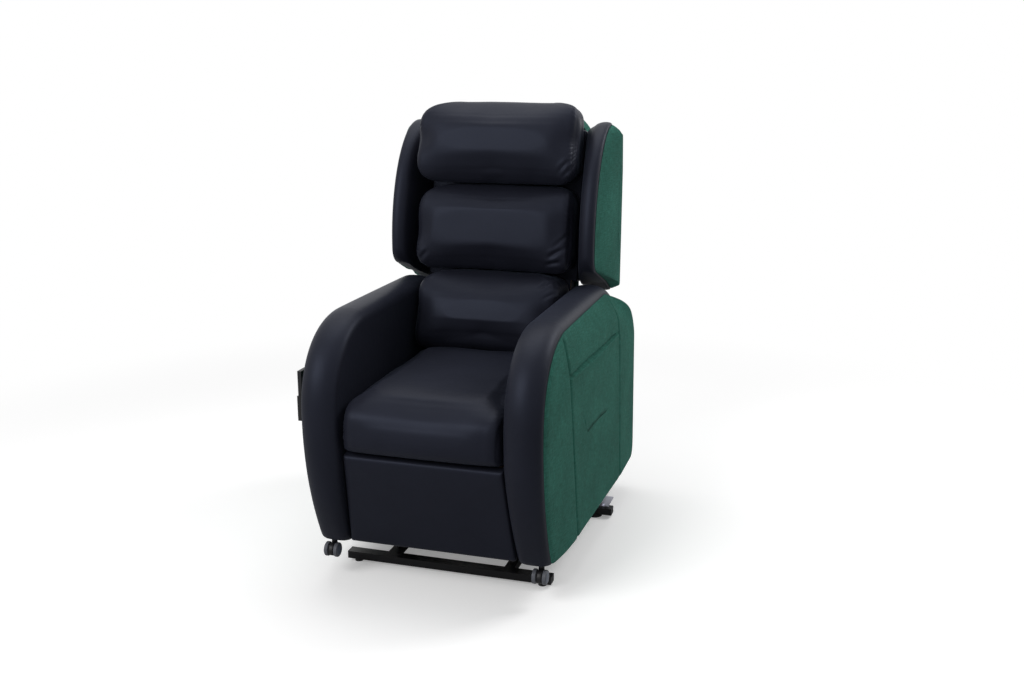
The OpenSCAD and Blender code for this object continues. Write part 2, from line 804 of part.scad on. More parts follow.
bracket_strip = 8;
module footrest_board() {
    color("#b08d5f") on_footrest()
        translate([0, 0, footrest_pad_t + hair]) linear_extrude(footrest_board_t) footrest_outline(6);
    back = footrest_pad_t + hair + footrest_board_t;
    n = [-sin(footrest_slope), cos(footrest_slope)];
    d = [cos(footrest_slope), sin(footrest_slope)];
    root = footrest_top + back * n;
    color("#2a2b30") both_sides() {
        plane_slab(outer_leg_x) difference() {
            union() {
                bar(board_pivot, follower_end, leg_link_w);
                polygon([root + 90 * d, root + 235 * d, board_pivot + [-3, -7], board_pivot + [7, 3],
                    follower_end + [7, 3], follower_end + [0, 8]]);
            }
            hole(board_pivot, leg_pin_d + 2 * fit);
        }
        cross_rod(follower_end, inner_leg_x[0] - 1, outer_leg_x[0], leg_pin_d);
    }
}

pad_bevel = 9;
module footrest_pad() {
    color("#23252b") on_footrest() hull() {
        linear_extrude(0.5) footrest_outline(pad_bevel);
        translate([0, 0, pad_bevel]) linear_extrude(footrest_pad_t - pad_bevel - 4) footrest_outline(0);
        translate([0, 0, footrest_pad_t - 0.5]) linear_extrude(0.5) footrest_outline(4);
    }
}

// ---------------------------------------------------------------- back

// The back's own frame: origin on the board's face, +Y up the board, +Z out of its face
back_origin = [190, 560];
module on_back() {
    translate([0, back_origin[0], back_origin[1]]) rotate([90 - back_lean, 0, 0]) children();
}

board_foot = -85;
board_half = arm_in - 5;
// How far the hinge plates and the motor lever climb the board, and the room round the hinge
hinge_plate_run = 130;
lever_run = 60;
hinge_room = 80;
function back_point(rise, run) = back_origin
    + rise * [-cos(back_lean), sin(back_lean)] + run * [sin(back_lean), cos(back_lean)];

module back_frame() {
    color("#b08d5f") on_back() translate([-board_half, board_foot, -back_board_t])
        cube([2 * board_half, back_board_h, back_board_t]);
    rear = -back_board_t;
    color("#2a2b30") {
        both_sides() plane_slab(back_arm_x) difference() {
            union() {
                hole(back_hinge, 28);
                polygon([back_point(rear, board_foot + 5), back_point(rear, board_foot + hinge_plate_run),
                    back_point(rear - 16, board_foot + hinge_plate_run), back_hinge + [14, 0], back_hinge + [-14, -2]]);
            }
            hole(back_hinge, motor_pin_d + 2 * fit);
        }
        for (x = [back_motor_x - lever_out, back_motor_x + lever_in])
            slab(x, x + lever_out - lever_in) {
                hole(back_lever_pivot, 22);
                polygon([back_point(rear, board_foot + 5), back_point(rear, board_foot + lever_run),
                    back_lever_pivot + [11, 0], back_lever_pivot + [-11, -2]]);
            }
        cross_rod(back_lever_pivot, back_motor_x - lever_out, back_motor_x + lever_out, motor_pin_d);
    }
}

// Rear face of the shell as [y, z], from its foot to its top
shell_rear = [[302, 478], [317, 706], [348, 930], [350, 1000], [341, 1100], [326, 1136]];
shell_half = [arm_in - 5, pillow_w / 2 + 3];
shell_step_z = 712;
module shell_shape(x) {
    slab(-x, x) polygon(concat([back_point(-back_board_t - hair, board_foot + 42)], shell_rear,
        [back_point(-back_board_t - hair, back_board_h + board_foot + 12)]));
}

arm_room = 18;
module back_shell() {
    color("#2f5f54") difference() {
        union() {
            intersection() {
                shell_shape(shell_half[0]);
                block(-far, far, 0, far, 0, shell_step_z + 1);
            }
            intersection() {
                shell_shape(shell_half[1]);
                block(-far, far, 0, far, shell_step_z, shell_step_z + far);
            }
        }
        both_sides() block(back_arm_x[0] - 2, shell_half[1] + 1, 0, far, 0, back_origin[1] + hinge_room);
        block(back_motor_x - arm_room, back_motor_x + arm_room, 0, far, 0, back_origin[1]);
    }
}

// Outline of a wing in [y, z], with its front edge set back and the whole cut in: a rounded
// front, a round lower corner and a foot that slopes down to the rear
wing_centre = [315, 800];
wing_reach = 225;
wing_rise = 336;
wing_corner = 50;
wing_corner_z = 790;
wing_slope = 23;
wing_rear = [[350, 1000], [341, 1100]];
wing_heel = 345;
function wing_outline(back, inset) =
    let (r = wing_corner - inset,
        at = [wing_centre[0] - wing_reach + wing_corner + back, wing_corner_z - back * tan(wing_slope)],
        foot = at - r * [sin(wing_slope), cos(wing_slope)],
        heel = wing_heel - inset)
    concat(
        quarter(wing_centre, wing_reach - back - inset, wing_rise - inset, 1.85, 90, 180, 14),
        quarter(at, r, r, 2, 180, 270 - wing_slope, 6),
        [foot, [heel, foot[1] - (heel - foot[0]) * tan(wing_slope)]],
        [for (p = wing_rear) p - [inset, 0]]);

module wing_slice(x, back, inset) {
    slab(x, x + slice_t) polygon(wing_outline(back, inset));
}

wing_root = 3.5;
module wing() {
    color("#1d1f25") hull() {
        wing_slice(pillow_w / 2 + wing_root, 145, 12);
        wing_slice(wing_x - 46, 22, 8);
        wing_slice(wing_x - 32, 4, 2);
        wing_slice(wing_x - 14, 2, 0);
        wing_slice(wing_x - slice_t, 8, 3);
    }
}

module wing_side() {
    color("#2f5f54") hull() {
        wing_slice(wing_x + hair, 12, 5);
        wing_slice(wing_x + wing_side_bulge * 0.5, 46, 14);
        wing_slice(wing_x + wing_side_bulge - slice_t, 150, 6);
    }
}

// Runs of the pillows up the board, with the room between neighbours
lumbar_run = [-60, 160];
middle_run = [162, 402];
head_run = [404, 627];
module head_pillow() {
    color("#23252b") on_back() translate([0, 0, hair])
        pad_form(head_t, -0.1, head_run[0], head_run[1], pillow_w / 2, 0.8);
}

module middle_pillow() {
    color("#23252b") on_back() translate([0, 0, hair])
        pad_form(middle_t, -0.04, middle_run[0], middle_run[1], pillow_w / 2, 0.8);
}

lumbar_half = arm_in - 4;
module lumbar_pillow() {
    color("#23252b") on_back() translate([0, 0, hair])
        pad_form(lumbar_t, -0.2, lumbar_run[0], lumbar_run[1], lumbar_half, 0.82);
}

// ---------------------------------------------------------------- castors

stem_collar = 3;
hood_gap = 2;
hood_wall = 2.5;
web_half = 3.5;
axle_d = 6;
boss_d = 18;
module castor_place(side, end) {
    translate([side * castor_x, end * castor_y, 0]) children();
}

module castor_hood() {
    hood_r = wheel_d / 2 + hood_gap;
    half = web_half + 1 + wheel_w;
    color("#111214") {
        translate([0, 0, arm_bottom - stem_collar]) cylinder(h = stem_collar + stem_h, d = stem_d);
        translate([0, 0, arm_bottom - stem_collar]) cylinder(h = stem_collar - hair, d = 26);
        boss_z = axle_z + wheel_d / 2 + hood_gap;
        translate([0, 0, boss_z]) cylinder(h = arm_bottom - stem_collar - boss_z, d = boss_d);
        difference() {
            union() {
                cross_rod([-castor_trail, axle_z], -half, half, 2 * (hood_r + hood_wall));
                slab(-web_half, web_half) polygon([[-castor_trail, axle_z + 6], [8, axle_z + wheel_d / 2 - 6],
                    [8, arm_bottom - stem_collar], [-8, arm_bottom - stem_collar]]);
            }
            for (x = [-half - 1, web_half])
                cross_rod([-castor_trail, axle_z], x, x + half + 1 - web_half, 2 * hood_r);
            block(-half - 1, half + 1, -castor_trail - 60, -castor_trail + 60, axle_z - 60, axle_z - 5);
            cross_rod([-castor_trail, axle_z], -half, half, axle_d + 2 * fit);
        }
    }
}

module castor_wheels() {
    color("#77797c") {
        for (x = [-web_half - 0.8 - wheel_w, web_half + 0.8])
            cross_rod([-castor_trail, axle_z], x, x + wheel_w, wheel_d);
        cross_rod([-castor_trail, axle_z], -web_half - 1.8, web_half + 1.8, axle_d);
    }
}

// ---------------------------------------------------------------- handset

handset_y = -390;
handset_foot = 436;
holder_wall = 2;
holder_h = 62;
holder_play = 0.4;
holder_half = handset_w / 2 + holder_play;
holder_x = arm_out + side_rise(arm_nose(0, 0) + handset_y + holder_half + holder_wall) + slice_t + hair;
handset_x = holder_x + holder_wall + holder_play;
module handset_holder() {
    x0 = holder_x;
    x1 = handset_x + handset_t + holder_play;
    w = holder_half;
    color("#1c1d20") mirror([1, 0, 0]) difference() {
        block(x0, x1 + holder_wall, handset_y - w - holder_wall, handset_y + w + holder_wall,
            handset_foot - holder_wall - holder_play, handset_foot + holder_h);
        block(x0 + holder_wall, x1, handset_y - w, handset_y + w,
            handset_foot - holder_play, handset_foot + holder_h + 1);
        block(x1 - 1, x1 + holder_wall + 1, handset_y - w, handset_y + w,
            handset_foot + 22, handset_foot + holder_h + 1);
    }
}

rocker_w = 30;
rocker_h = 18;
rocker_pitch = 30;
rocker_play = 0.6;
rocker_depth = 4;
rocker_proud = 1.6;
rocker_pin = 2.4;
function rocker_z(i) = handset_foot + 34 + i * rocker_pitch;
module rocker_axis(i, half, d) {
    x = handset_x + handset_t - rocker_depth / 2;
    translate([-x, handset_y - half, rocker_z(i)]) rotate([-90, 0, 0]) cylinder(h = 2 * half, d = d);
}

module handset() {
    w = rocker_w / 2 + rocker_play;
    h = rocker_h / 2 + rocker_play;
    face = handset_x + handset_t;
    color("#2b2d31") difference() {
        block(-face, -handset_x, handset_y - handset_w / 2, handset_y + handset_w / 2,
            handset_foot, handset_foot + handset_l);
        for (i = [0 : 2]) {
            block(-face - 1, -face + rocker_depth, handset_y - w, handset_y + w, rocker_z(i) - h, rocker_z(i) + h);
            rocker_axis(i, w + 2, rocker_pin + 2 * fit);
        }
    }
}

rocker_back = 1;
module rocker(i) {
    face = handset_x + handset_t;
    color("#a8abb0") {
        block(-face - rocker_proud, -face + rocker_depth / 2 - rocker_back + 1.2, handset_y - rocker_w / 2,
            handset_y + rocker_w / 2, rocker_z(i) - rocker_h / 2, rocker_z(i) + rocker_h / 2);
        rocker_axis(i, rocker_w / 2 + rocker_play + 1.8, rocker_pin);
    }
}

base_front_tube();
base_rear_tube();
base_rails();
tube_end_caps();
base_feet();
rear_floor_plates();
lift_brackets();
rear_lift_links();
lift_torque_tube();
front_lift_links();
lift_motor();
lift_rod();
mechanism_plates();
mechanism_cross_tubes();
seat_side_rails();
seat_cross_rails();
seat_springs();
seat_cushion();
arm_frame();  // left_arm_frame
mirror([1, 0, 0]) arm_frame();  // right_arm_frame
arm_pad();  // left_arm_pad
mirror([1, 0, 0]) arm_pad();  // right_arm_pad
arm_side();  // left_arm_side
mirror([1, 0, 0]) arm_side();  // right_arm_side
rear_cover();
control_box();
handset_holder();
leg_motor();
leg_arms();
leg_torque_tube();
leg_control_links();
leg_carriers();
leg_follower_links();
leg_rod();
footrest_board();
footrest_pad();
back_frame();
back_shell();
wing();  // left_wing
mirror([1, 0, 0]) wing();  // right_wing
wing_side();  // left_wing_side
mirror([1, 0, 0]) wing_side();  // right_wing_side
head_pillow();
middle_pillow();
lumbar_pillow();
back_motor();
back_rod();
castor_place(1, -1) castor_hood();  // front_left_castor_hood
castor_place(-1, -1) castor_hood();  // front_right_castor_hood
castor_place(1, 1) castor_hood();  // rear_left_castor_hood
castor_place(-1, 1) castor_hood();  // rear_right_castor_hood
castor_place(1, -1) castor_wheels();  // front_left_castor_wheels
castor_place(-1, -1) castor_wheels();  // front_right_castor_wheels
castor_place(1, 1) castor_wheels();  // rear_left_castor_wheels
castor_place(-1, 1) castor_wheels();  // rear_right_castor_wheels
handset();
rocker(2);  // back_rocker
rocker(1);  // leg_rocker
rocker(0);  // lift_rocker
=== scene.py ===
"""Upholstery, finishes and stage of the lift recliner chair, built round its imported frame."""

import math

import bmesh
import bpy
import numpy as np
from mathutils import Matrix, Vector, noise


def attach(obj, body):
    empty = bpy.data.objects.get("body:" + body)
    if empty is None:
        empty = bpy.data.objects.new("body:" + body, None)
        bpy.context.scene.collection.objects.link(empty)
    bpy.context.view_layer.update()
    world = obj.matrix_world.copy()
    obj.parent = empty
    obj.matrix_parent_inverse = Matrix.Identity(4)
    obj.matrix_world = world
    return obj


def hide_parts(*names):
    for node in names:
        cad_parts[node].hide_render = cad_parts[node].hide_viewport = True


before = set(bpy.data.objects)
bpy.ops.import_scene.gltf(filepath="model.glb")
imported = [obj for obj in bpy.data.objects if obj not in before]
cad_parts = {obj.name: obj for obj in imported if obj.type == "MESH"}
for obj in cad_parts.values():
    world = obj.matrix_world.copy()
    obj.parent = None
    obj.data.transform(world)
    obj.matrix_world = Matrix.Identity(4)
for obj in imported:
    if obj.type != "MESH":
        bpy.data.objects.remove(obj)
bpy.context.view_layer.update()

bl_info = {
    "name": "Lift Recliner Chair",
    "version": (1, 0, 0),
    "blender": (4, 5, 0),
    "location": "View3D > Sidebar > Recliner",
    "description": "Upholsters and finishes a lift recliner chair",
    "category": "Object",
}

MM = 0.001
SIDES = (("left", 1), ("right", -1))

# The arms in millimetres: (y, z) of their outline, whose front leans back to the toe
ARM_IN, ARM_OUT, ARM_TOP, ARM_FOOT = 209, 305, 693, 105
ARM_CENTRE = (-10, 400)
ARM_FRONT, TOE_BACK = 474, 85
ARM_BROW, BROW_REACH = 450, 243
ARM_SHOULDER, SHOULDER_REACH = (450, 500), 270
ARM_HEEL = 476
FRONT_STEPS, BROW_STEPS, SHOULDER_STEPS = 14, 24, 20
BAND_SPLAY, SPLAY_TOP, SPLAY_DEEP, SPLAY_ACROSS = 15, 370, 257, 48

# The arms' outer panels, with two sewn seams as (y, z) from foot to top
FRONT_SEAM = ((-192, 120), (-293, 640))
REAR_SEAM = ((264, 110), (206, 700))
POCKET_Z = 556
PANEL_BACK = ARM_OUT + 0.3
PANEL_REAR_RISE, PANEL_FLARE = 17, 26
FLARE_FROM, FLARE_RUN = -344, 644

# The back shell's rear face as (y, z), and the wings, whose rear edge follows it
SHELL_REAR = ((302, 478), (317, 706), (348, 930), (350, 1000), (341, 1100), (326, 1136))
SHELL_FOOT, SHELL_TALL, SHELL_CORNER = 480, 655, 26
SHELL_HALF, SHELL_STEP, SHELL_STEP_Z = 203.5, 19, 700
WING_CENTRE, WING_REACH, WING_RISE, WING_CORNER = (315, 800), 225, 336, 50
WING_MIDDLE = (295, 890)
WING_TURN, WING_SLOPE, WING_HEEL = 790, 23, 345

# The back's own axes: rise leaves the board, run climbs it
BACK_LEAN = math.radians(9.6)
BACK_FRAME = Matrix((
    (1, 0, 0, 0),
    (0, math.sin(BACK_LEAN), -math.cos(BACK_LEAN), 190 * MM),
    (0, math.cos(BACK_LEAN), math.sin(BACK_LEAN), 560.3 * MM),
    (0, 0, 0, 1)))
SEAT_FRAME = Matrix.Translation((0, 0, 373.3 * MM))

# The footrest pad's upper and lower edge as (y, z)
FOOT_UPPER, FOOT_LOWER = (-449, 364), (-389, 110)
FOOT_SLOPE = math.atan2(FOOT_LOWER[1] - FOOT_UPPER[1], FOOT_LOWER[0] - FOOT_UPPER[0])
FOOT_FRAME = Matrix.Translation(Vector((0, *FOOT_UPPER)) * MM) @ Matrix.Rotation(FOOT_SLOPE, 4, "X")

# The rear cover between the arms, whose height lies along its own y
REAR_COVER_FRAME = (
    Matrix.Translation((0, 428 * MM, 126 * MM)) @ Matrix.Rotation(math.radians(90), 4, "X")
    @ Matrix.Scale(-1, 4, (0, 0, 1)))

# The castors
CASTOR_X, CASTOR_Y, CASTOR_TRAIL = 278, 360, 12
AXLE_Z, STEM_Z = 76, 98


# ---------------- sizes and colours

def size(name, description, default, low, high):
    return bpy.props.FloatProperty(
        name=name, description=description, default=default * MM, min=low * MM, max=high * MM,
        subtype="DISTANCE", unit="LENGTH")


def colour(name, description, default):
    return bpy.props.FloatVectorProperty(
        name=name, description=description, default=default, min=0, max=1, size=3, subtype="COLOR")


class RECLINER_PG_sizes(bpy.types.PropertyGroup):
    """Sizes of the upholstery's details."""

    swell: size("Cushion swell", "How far a cushion's cover may swell over its core", 14, 4, 30)
    voxel: size("Cushion mesh", "Cell size of a cushion's simulated mesh", 5.5, 4, 8)
    seam: size("Seam depth", "Depth of a sewn seam's valley", 2.6, 0.5, 5)
    pleat: size("Gather depth", "Height of the gathers along a cushion's end seams", 1.5, 0, 4)
    side_seam: size("Side seam depth", "Depth of the seams on the arms' outer panels", 4, 1, 8)
    mouth: size("Pocket mouth depth", "Depth of the side pocket's open mouth", 9, 2, 12)


class RECLINER_PG_colours(bpy.types.PropertyGroup):
    """Colours of the chair's finishes."""

    vinyl: colour("Faux leather", "Black faux leather of seat, back and arms", (0.0088, 0.0094, 0.0146))
    fabric: colour("Side fabric", "Green woven fabric of the outer sides", (0.024, 0.108, 0.083))
    steel: colour("Frame steel", "Powder coat of the floor frame and links", (0.004, 0.004, 0.005))
    plate: colour("Floor plates", "Zinc of the rear floor plates", (0.58, 0.59, 0.68))
    wood: colour("Timber", "Plywood and rails inside the upholstery", (0.45, 0.29, 0.15))
    plastic: colour("Black plastic", "Moulded housings, caps and castor hoods", (0.006, 0.006, 0.0075))
    grey: colour("Grey plastic", "Rocker keys and castor treads", (0.085, 0.09, 0.105))


# ---------------- finishes

class Wire:
    """One output of a shader tree, with arithmetic that adds Math nodes."""

    def __init__(self, look, socket):
        self.look, self.socket = look, socket

    def join(self, operation, *values):
        return self.look.node("Math", dict(enumerate(values)), operation=operation)

    def __add__(self, other): return self.join("ADD", self, other)
    def __sub__(self, other): return self.join("SUBTRACT", self, other)
    def __mul__(self, other): return self.join("MULTIPLY", self, other)
    def __abs__(self): return self.join("ABSOLUTE", self)
    def sine(self): return self.join("SINE", self)
    def most(self, other): return self.join("MAXIMUM", self, other)

    def twin(self, name):
        """Another output of the same node."""
        return Wire(self.look, self.socket.node.outputs[name])


class Look:
    """The shader tree of a material or a world under construction."""

    def __init__(self, name, world=False):
        self.holder = (bpy.data.worlds if world else bpy.data.materials).new(name)
        self.holder.use_nodes = True
        self.tree = self.holder.node_tree
        self.tree.nodes.clear()

    def node(self, kind, values=None, out=0, stops=None, **settings):
        made = self.tree.nodes.new("ShaderNode" + kind)
        for key, value in settings.items():
            setattr(made, key, value)
        if stops:
            ramp = made.color_ramp.elements
            while len(ramp) < len(stops):
                ramp.new(1)
            for element, (place, shade) in zip(ramp, stops):
                element.position, element.color = place, (*shade, 1)
        for key, value in (values or {}).items():
            if isinstance(value, Wire):
                self.tree.links.new(value.socket, made.inputs[key])
            else:
                made.inputs[key].default_value = value
        return Wire(self, made.outputs[out])

    def place(self, scale=(1, 1, 1)):
        """Object coordinates, scaled."""
        return self.node("Mapping", {"Vector": self.node("TexCoord", out="Object"), "Scale": scale})

    def noise(self, at, scale, detail=2.0, rough=0.5):
        return self.node("TexNoise", {"Vector": at, "Scale": scale, "Detail": detail, "Roughness": rough})

    def cells(self, at, scale):
        return self.node("TexVoronoi", {"Vector": at, "Scale": scale}, out="Distance")

    def between(self, factor, low, high):
        """A mix of two colours."""
        return self.node("Mix", {0: factor, 6: (*low, 1), 7: (*high, 1)}, out=2, data_type="RGBA")

    def spread(self, value, low, high):
        """A 0-to-1 value brought to the range low to high."""
        return self.node("MapRange", {"Value": value, "To Min": low, "To Max": high})

    def bump(self, height, strength, distance, under=None):
        values = {"Height": height, "Strength": strength, "Distance": distance}
        if under:
            values["Normal"] = under
        return self.node("Bump", values)

    def finish(self, **sockets):
        """A principled surface, its sockets named in lower case."""
        names = {key.replace("_", " ").title(): value for key, value in sockets.items()}
        names["Specular IOR Level"] = names.pop("Specular Level", 0.5)
        return self.close(self.node("BsdfPrincipled", names))

    def close(self, surface, kind="Material"):
        out = self.tree.nodes.new("ShaderNodeOutput" + kind)
        self.tree.links.new(surface.socket, out.inputs["Surface"])
        return self.holder


def tint(base, factor):
    return tuple(min(1.0, c * factor) for c in base)


def vinyl(base):
    look = Look("black_faux_leather")
    at = look.place()
    patch = look.noise(at, 9, 3)
    grain = look.cells(at, 900)
    pores = look.noise(at, 1900, 2)
    crease = look.noise(look.place((1, 1.7, 0.6)), 38, 4, 0.6)
    skin = look.bump(grain * 0.7 + pores * 0.3, 0.16, 0.00035)
    skin = look.bump(crease, 0.10, 0.004, skin)
    return look.finish(
        base_color=look.between(patch * 0.7 + grain * 0.3, tint(base, 0.78), tint(base, 1.28)),
        roughness=look.spread(patch * 0.6 + pores * 0.4, 0.40, 0.54),
        specular_level=0.15, specular_tint=(0.6, 0.69, 0.95, 1), sheen_weight=0.03, sheen_roughness=0.4,
        sheen_tint=(0.55, 0.7, 1, 1), normal=skin)


THREAD_PITCH = 0.0019


def woven(name, base, across):
    """Woven cloth whose threads run along z and along one more axis."""
    look = Look(name)
    at = look.place()
    axis = "xy".index(across)
    split = look.node("SeparateXYZ", {0: at}, out=axis)
    turns = 2 * math.pi / THREAD_PITCH
    warp, weft = (split * turns).sine(), (split.twin("Z") * turns).sine()
    weave = abs(warp * weft)
    flat = ((1, 0), (0, 1))[axis]
    streak_up = look.noise(look.place((330 * flat[0], 330 * flat[1], 42)), 1, 2)
    streak_on = look.noise(look.place((42 * flat[0], 42 * flat[1], 330)), 1, 2)
    melange = streak_up * 0.5 + streak_on * 0.5
    fleck = look.noise(at, 720, 2)
    broad = look.noise(at, 7, 3)
    tone = melange * 0.62 + fleck * 0.28 + broad * 0.22 - 0.06
    sag = look.bump(look.noise(look.place((1, 1.6, 0.55)), 13, 3), 0.22, 0.010)
    face = look.bump(weave * 0.6 + melange * 0.4, 0.5, 0.0006, sag)
    ramp = look.node("ValToRGB", {"Fac": tone}, stops=(
        (0.34, tint(base, 0.55)), (0.5, base), (0.66, tint(base, 1.62))))
    return look.finish(
        base_color=ramp, roughness=look.spread(fleck, 0.82, 0.95), specular_level=0.06,
        sheen_weight=0.04, sheen_roughness=0.55, sheen_tint=(0.7, 1, 0.9, 1), normal=face)


def powder(name, base, low, high, metal=0.0):
    """Powder-coated or plated steel."""
    look = Look(name)
    at = look.place()
    peel = look.noise(at, 620, 2)
    smear = look.noise(look.place((3, 1, 1)), 26, 4, 0.6)
    return look.finish(
        base_color=look.between(smear, tint(base, 0.8), tint(base, 1.3)), specular_level=0.3,
        roughness=look.spread(smear * 0.6 + peel * 0.4, low, high), metallic=metal,
        normal=look.bump(peel, 0.12, 0.0003))


def plastic(name, base, low=0.38, high=0.55, grain=1400):
    look = Look(name)
    at = look.place()
    spark = look.cells(at, grain)
    cloud = look.noise(at, 30, 3)
    return look.finish(
        base_color=look.between(cloud, tint(base, 0.85), tint(base, 1.2)), specular_level=0.3,
        roughness=look.spread(cloud * 0.5 + spark * 0.5, low, high),
        normal=look.bump(spark, 0.14, 0.0002))


def timber(base):
    look = Look("rail_timber")
    at = look.place((14, 1.2, 14))
    rings = look.node("TexWave", {"Vector": at, "Scale": 3.0, "Distortion": 6.0, "Detail": 3.0}, out="Fac")
    fibre = look.noise(look.place((260, 9, 260)), 1, 3)
    return look.finish(
        base_color=look.between(rings * 0.55 + fibre * 0.45, tint(base, 0.7), tint(base, 1.25)),
        roughness=look.spread(fibre, 0.55, 0.72), normal=look.bump(fibre, 0.25, 0.0004))


def drawn(name, base, low, high):
    """Bare metal with fine lines along y."""
    look = Look(name)
    lines = look.noise(look.place((900, 12, 900)), 1, 3)
    return look.finish(
        base_color=look.between(lines, tint(base, 0.86), tint(base, 1.1)), metallic=1.0,
        roughness=look.spread(lines, low, high), normal=look.bump(lines, 0.08, 0.0002))


FINISHES = {}


def finish_of(name):
    """The finish of that name, made on first use."""
    if name not in FINISHES:
        shades = bpy.context.scene.recliner_colours
        makers = {
            "black_vinyl": (vinyl, shades.vinyl),
            "green_fabric": (woven, "green_weave", shades.fabric, "y"),
            "green_back": (woven, "green_weave_back", shades.fabric, "x"),
            "black_steel": (powder, "black_powder_coat", shades.steel, 0.26, 0.4),
            "grey_plate": (powder, "zinc_plate", shades.plate, 0.3, 0.46, 0.7),
            "bright_rod": (drawn, "bright_rod", (0.62, 0.63, 0.65), 0.12, 0.22),
            "spring_wire": (drawn, "spring_wire", (0.36, 0.36, 0.38), 0.3, 0.42),
            "frame_wood": (timber, shades.wood),
            "black_rubber": (plastic, "black_rubber", (0.016, 0.016, 0.017), 0.7, 0.85, 700),
            "black_plastic": (plastic, "black_moulding", shades.plastic),
            "grey_plastic": (plastic, "grey_moulding", shades.grey),
            "hub_plastic": (plastic, "hub_disc", (0.10, 0.115, 0.15), 0.26, 0.36),
        }
        maker, *details = makers[name]
        FINISHES[name] = maker(*details)
    return FINISHES[name]


# ---------------- modelling

def spow(v, n):
    return math.copysign(abs(v) ** (2 / n), v)


def quarter(centre, a, b, n, start, end, steps):
    """Points of a superellipse arc, without its last one."""
    turns = (math.radians(start + (end - start) * i / steps) for i in range(steps))
    return [(centre[0] + a * spow(math.cos(t), n), centre[1] + b * spow(math.sin(t), n)) for t in turns]


def line(p, q, steps):
    return [(p[0] + (q[0] - p[0]) * i / steps, p[1] + (q[1] - p[1]) * i / steps) for i in range(steps)]


def ease(v):
    """A smooth step from 0 to 1."""
    v = np.clip(v, 0, 1)
    return v * v * (3 - 2 * v)


def towards(points, centre, share):
    return [(centre[0] + (y - centre[0]) * share, centre[1] + (z - centre[1]) * share) for y, z in points]


def at_x(x, points):
    """Points in (y, z) set at one place across the chair."""
    return [(x, y, z) for y, z in points]


def sided(rings, side):
    """Rings of the left side, mirrored for the right one."""
    return [[(side * x, y, z) for x, y, z in ring] for ring in rings]


def clamp(v):
    return min(1.0, max(0.0, v))


def close_ring(bm, points):
    """A closed chain of edges through points in millimetres."""
    verts = [bm.verts.new(Vector(p) * MM) for p in points]
    return [bm.edges.new(pair) for pair in zip(verts, verts[1:] + verts[:1])]


def loft(rings, capped=(0, -1)):
    """A skin through rings of points, with a face at the ends that are capped."""
    bm = bmesh.new()
    loops = [close_ring(bm, ring) for ring in rings]
    for one, two in zip(loops, loops[1:]):
        bmesh.ops.bridge_loops(bm, edges=one + two)
    for end in capped:
        bmesh.ops.contextual_create(bm, geom=loops[end])
    bmesh.ops.recalc_face_normals(bm, faces=bm.faces)
    return bm


def placed(bm, matrix):
    """The same skin moved to its place, its faces turned outwards again."""
    bmesh.ops.transform(bm, verts=bm.verts, matrix=matrix)
    bmesh.ops.recalc_face_normals(bm, faces=bm.faces)
    return bm


def mesh_of(bm, name):
    mesh = bpy.data.meshes.new(name)
    bm.to_mesh(mesh)
    bm.free()
    return mesh


def linked(name, data):
    """A new object of the scene."""
    made = bpy.data.objects.new(name, data)
    bpy.context.scene.collection.objects.link(made)
    return made


def publish(bm, name, *args, **kwargs):
    """Turns a bmesh into a finished piece of the chair."""
    return dress(mesh_of(bm, name), name, *args, **kwargs)


def dress(mesh, name, body, slot, finish=None, replaces=(), levels=0, fill=None):
    """A finished piece that rides a body and stands for the frame's nodes in replaces."""
    piece = linked(name, mesh)
    mesh.shade_smooth()
    mesh.materials.clear()
    mesh.materials.append(finish_of(finish or slot))
    if levels:
        smoothed(piece, levels)
    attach(piece, body)
    if replaces:
        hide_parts(*replaces)
    return piece


def smoothed(piece, levels):
    smooth = piece.modifiers.new("Smooth", "SUBSURF")
    smooth.levels = smooth.render_levels = levels


def walled(piece, thickness):
    wall = piece.modifiers.new("Wall", "SOLIDIFY")
    wall.thickness, wall.offset = thickness * MM, -1


def baked(piece):
    """The piece's mesh with its modifiers applied; the piece itself goes."""
    graph = bpy.context.evaluated_depsgraph_get()
    mesh = bpy.data.meshes.new_from_object(piece.evaluated_get(graph))
    bpy.data.objects.remove(piece)
    return mesh


def points_of(mesh):
    co = np.empty(len(mesh.vertices) * 3)
    mesh.vertices.foreach_get("co", co)
    return co.reshape(-1, 3)


def set_points(mesh, co):
    mesh.vertices.foreach_set("co", co.ravel())
    mesh.update()


def remeshed(bm, cell):
    """A skin rebuilt of even cells."""
    work = linked("cushion_core", mesh_of(bm, "cushion_core"))
    voxels = work.modifiers.new("Voxels", "REMESH")
    voxels.mode, voxels.voxel_size, voxels.use_smooth_shade = "VOXEL", cell, True
    even = work.modifiers.new("Even", "SMOOTH")
    even.factor, even.iterations = 0.5, 6
    return baked(work)


def evened(mesh, field, rounds):
    """A vector for each of the mesh's points, averaged with its neighbours round by round."""
    ends = np.empty(len(mesh.edges) * 2, dtype=np.int32)
    mesh.edges.foreach_get("vertices", ends)
    a, b = ends.reshape(-1, 2).T
    near = np.maximum(1, np.bincount(a, minlength=len(field)) + np.bincount(b, minlength=len(field)))
    for _ in range(rounds):
        for k in range(3):
            total = np.bincount(a, field[b, k], len(field)) + np.bincount(b, field[a, k], len(field))
            field[:, k] = 0.5 * field[:, k] + 0.5 * total / near
    return field


CLOTH_FRAMES, CLOTH_EVENING, HELD_RISE = 20, 45, 6


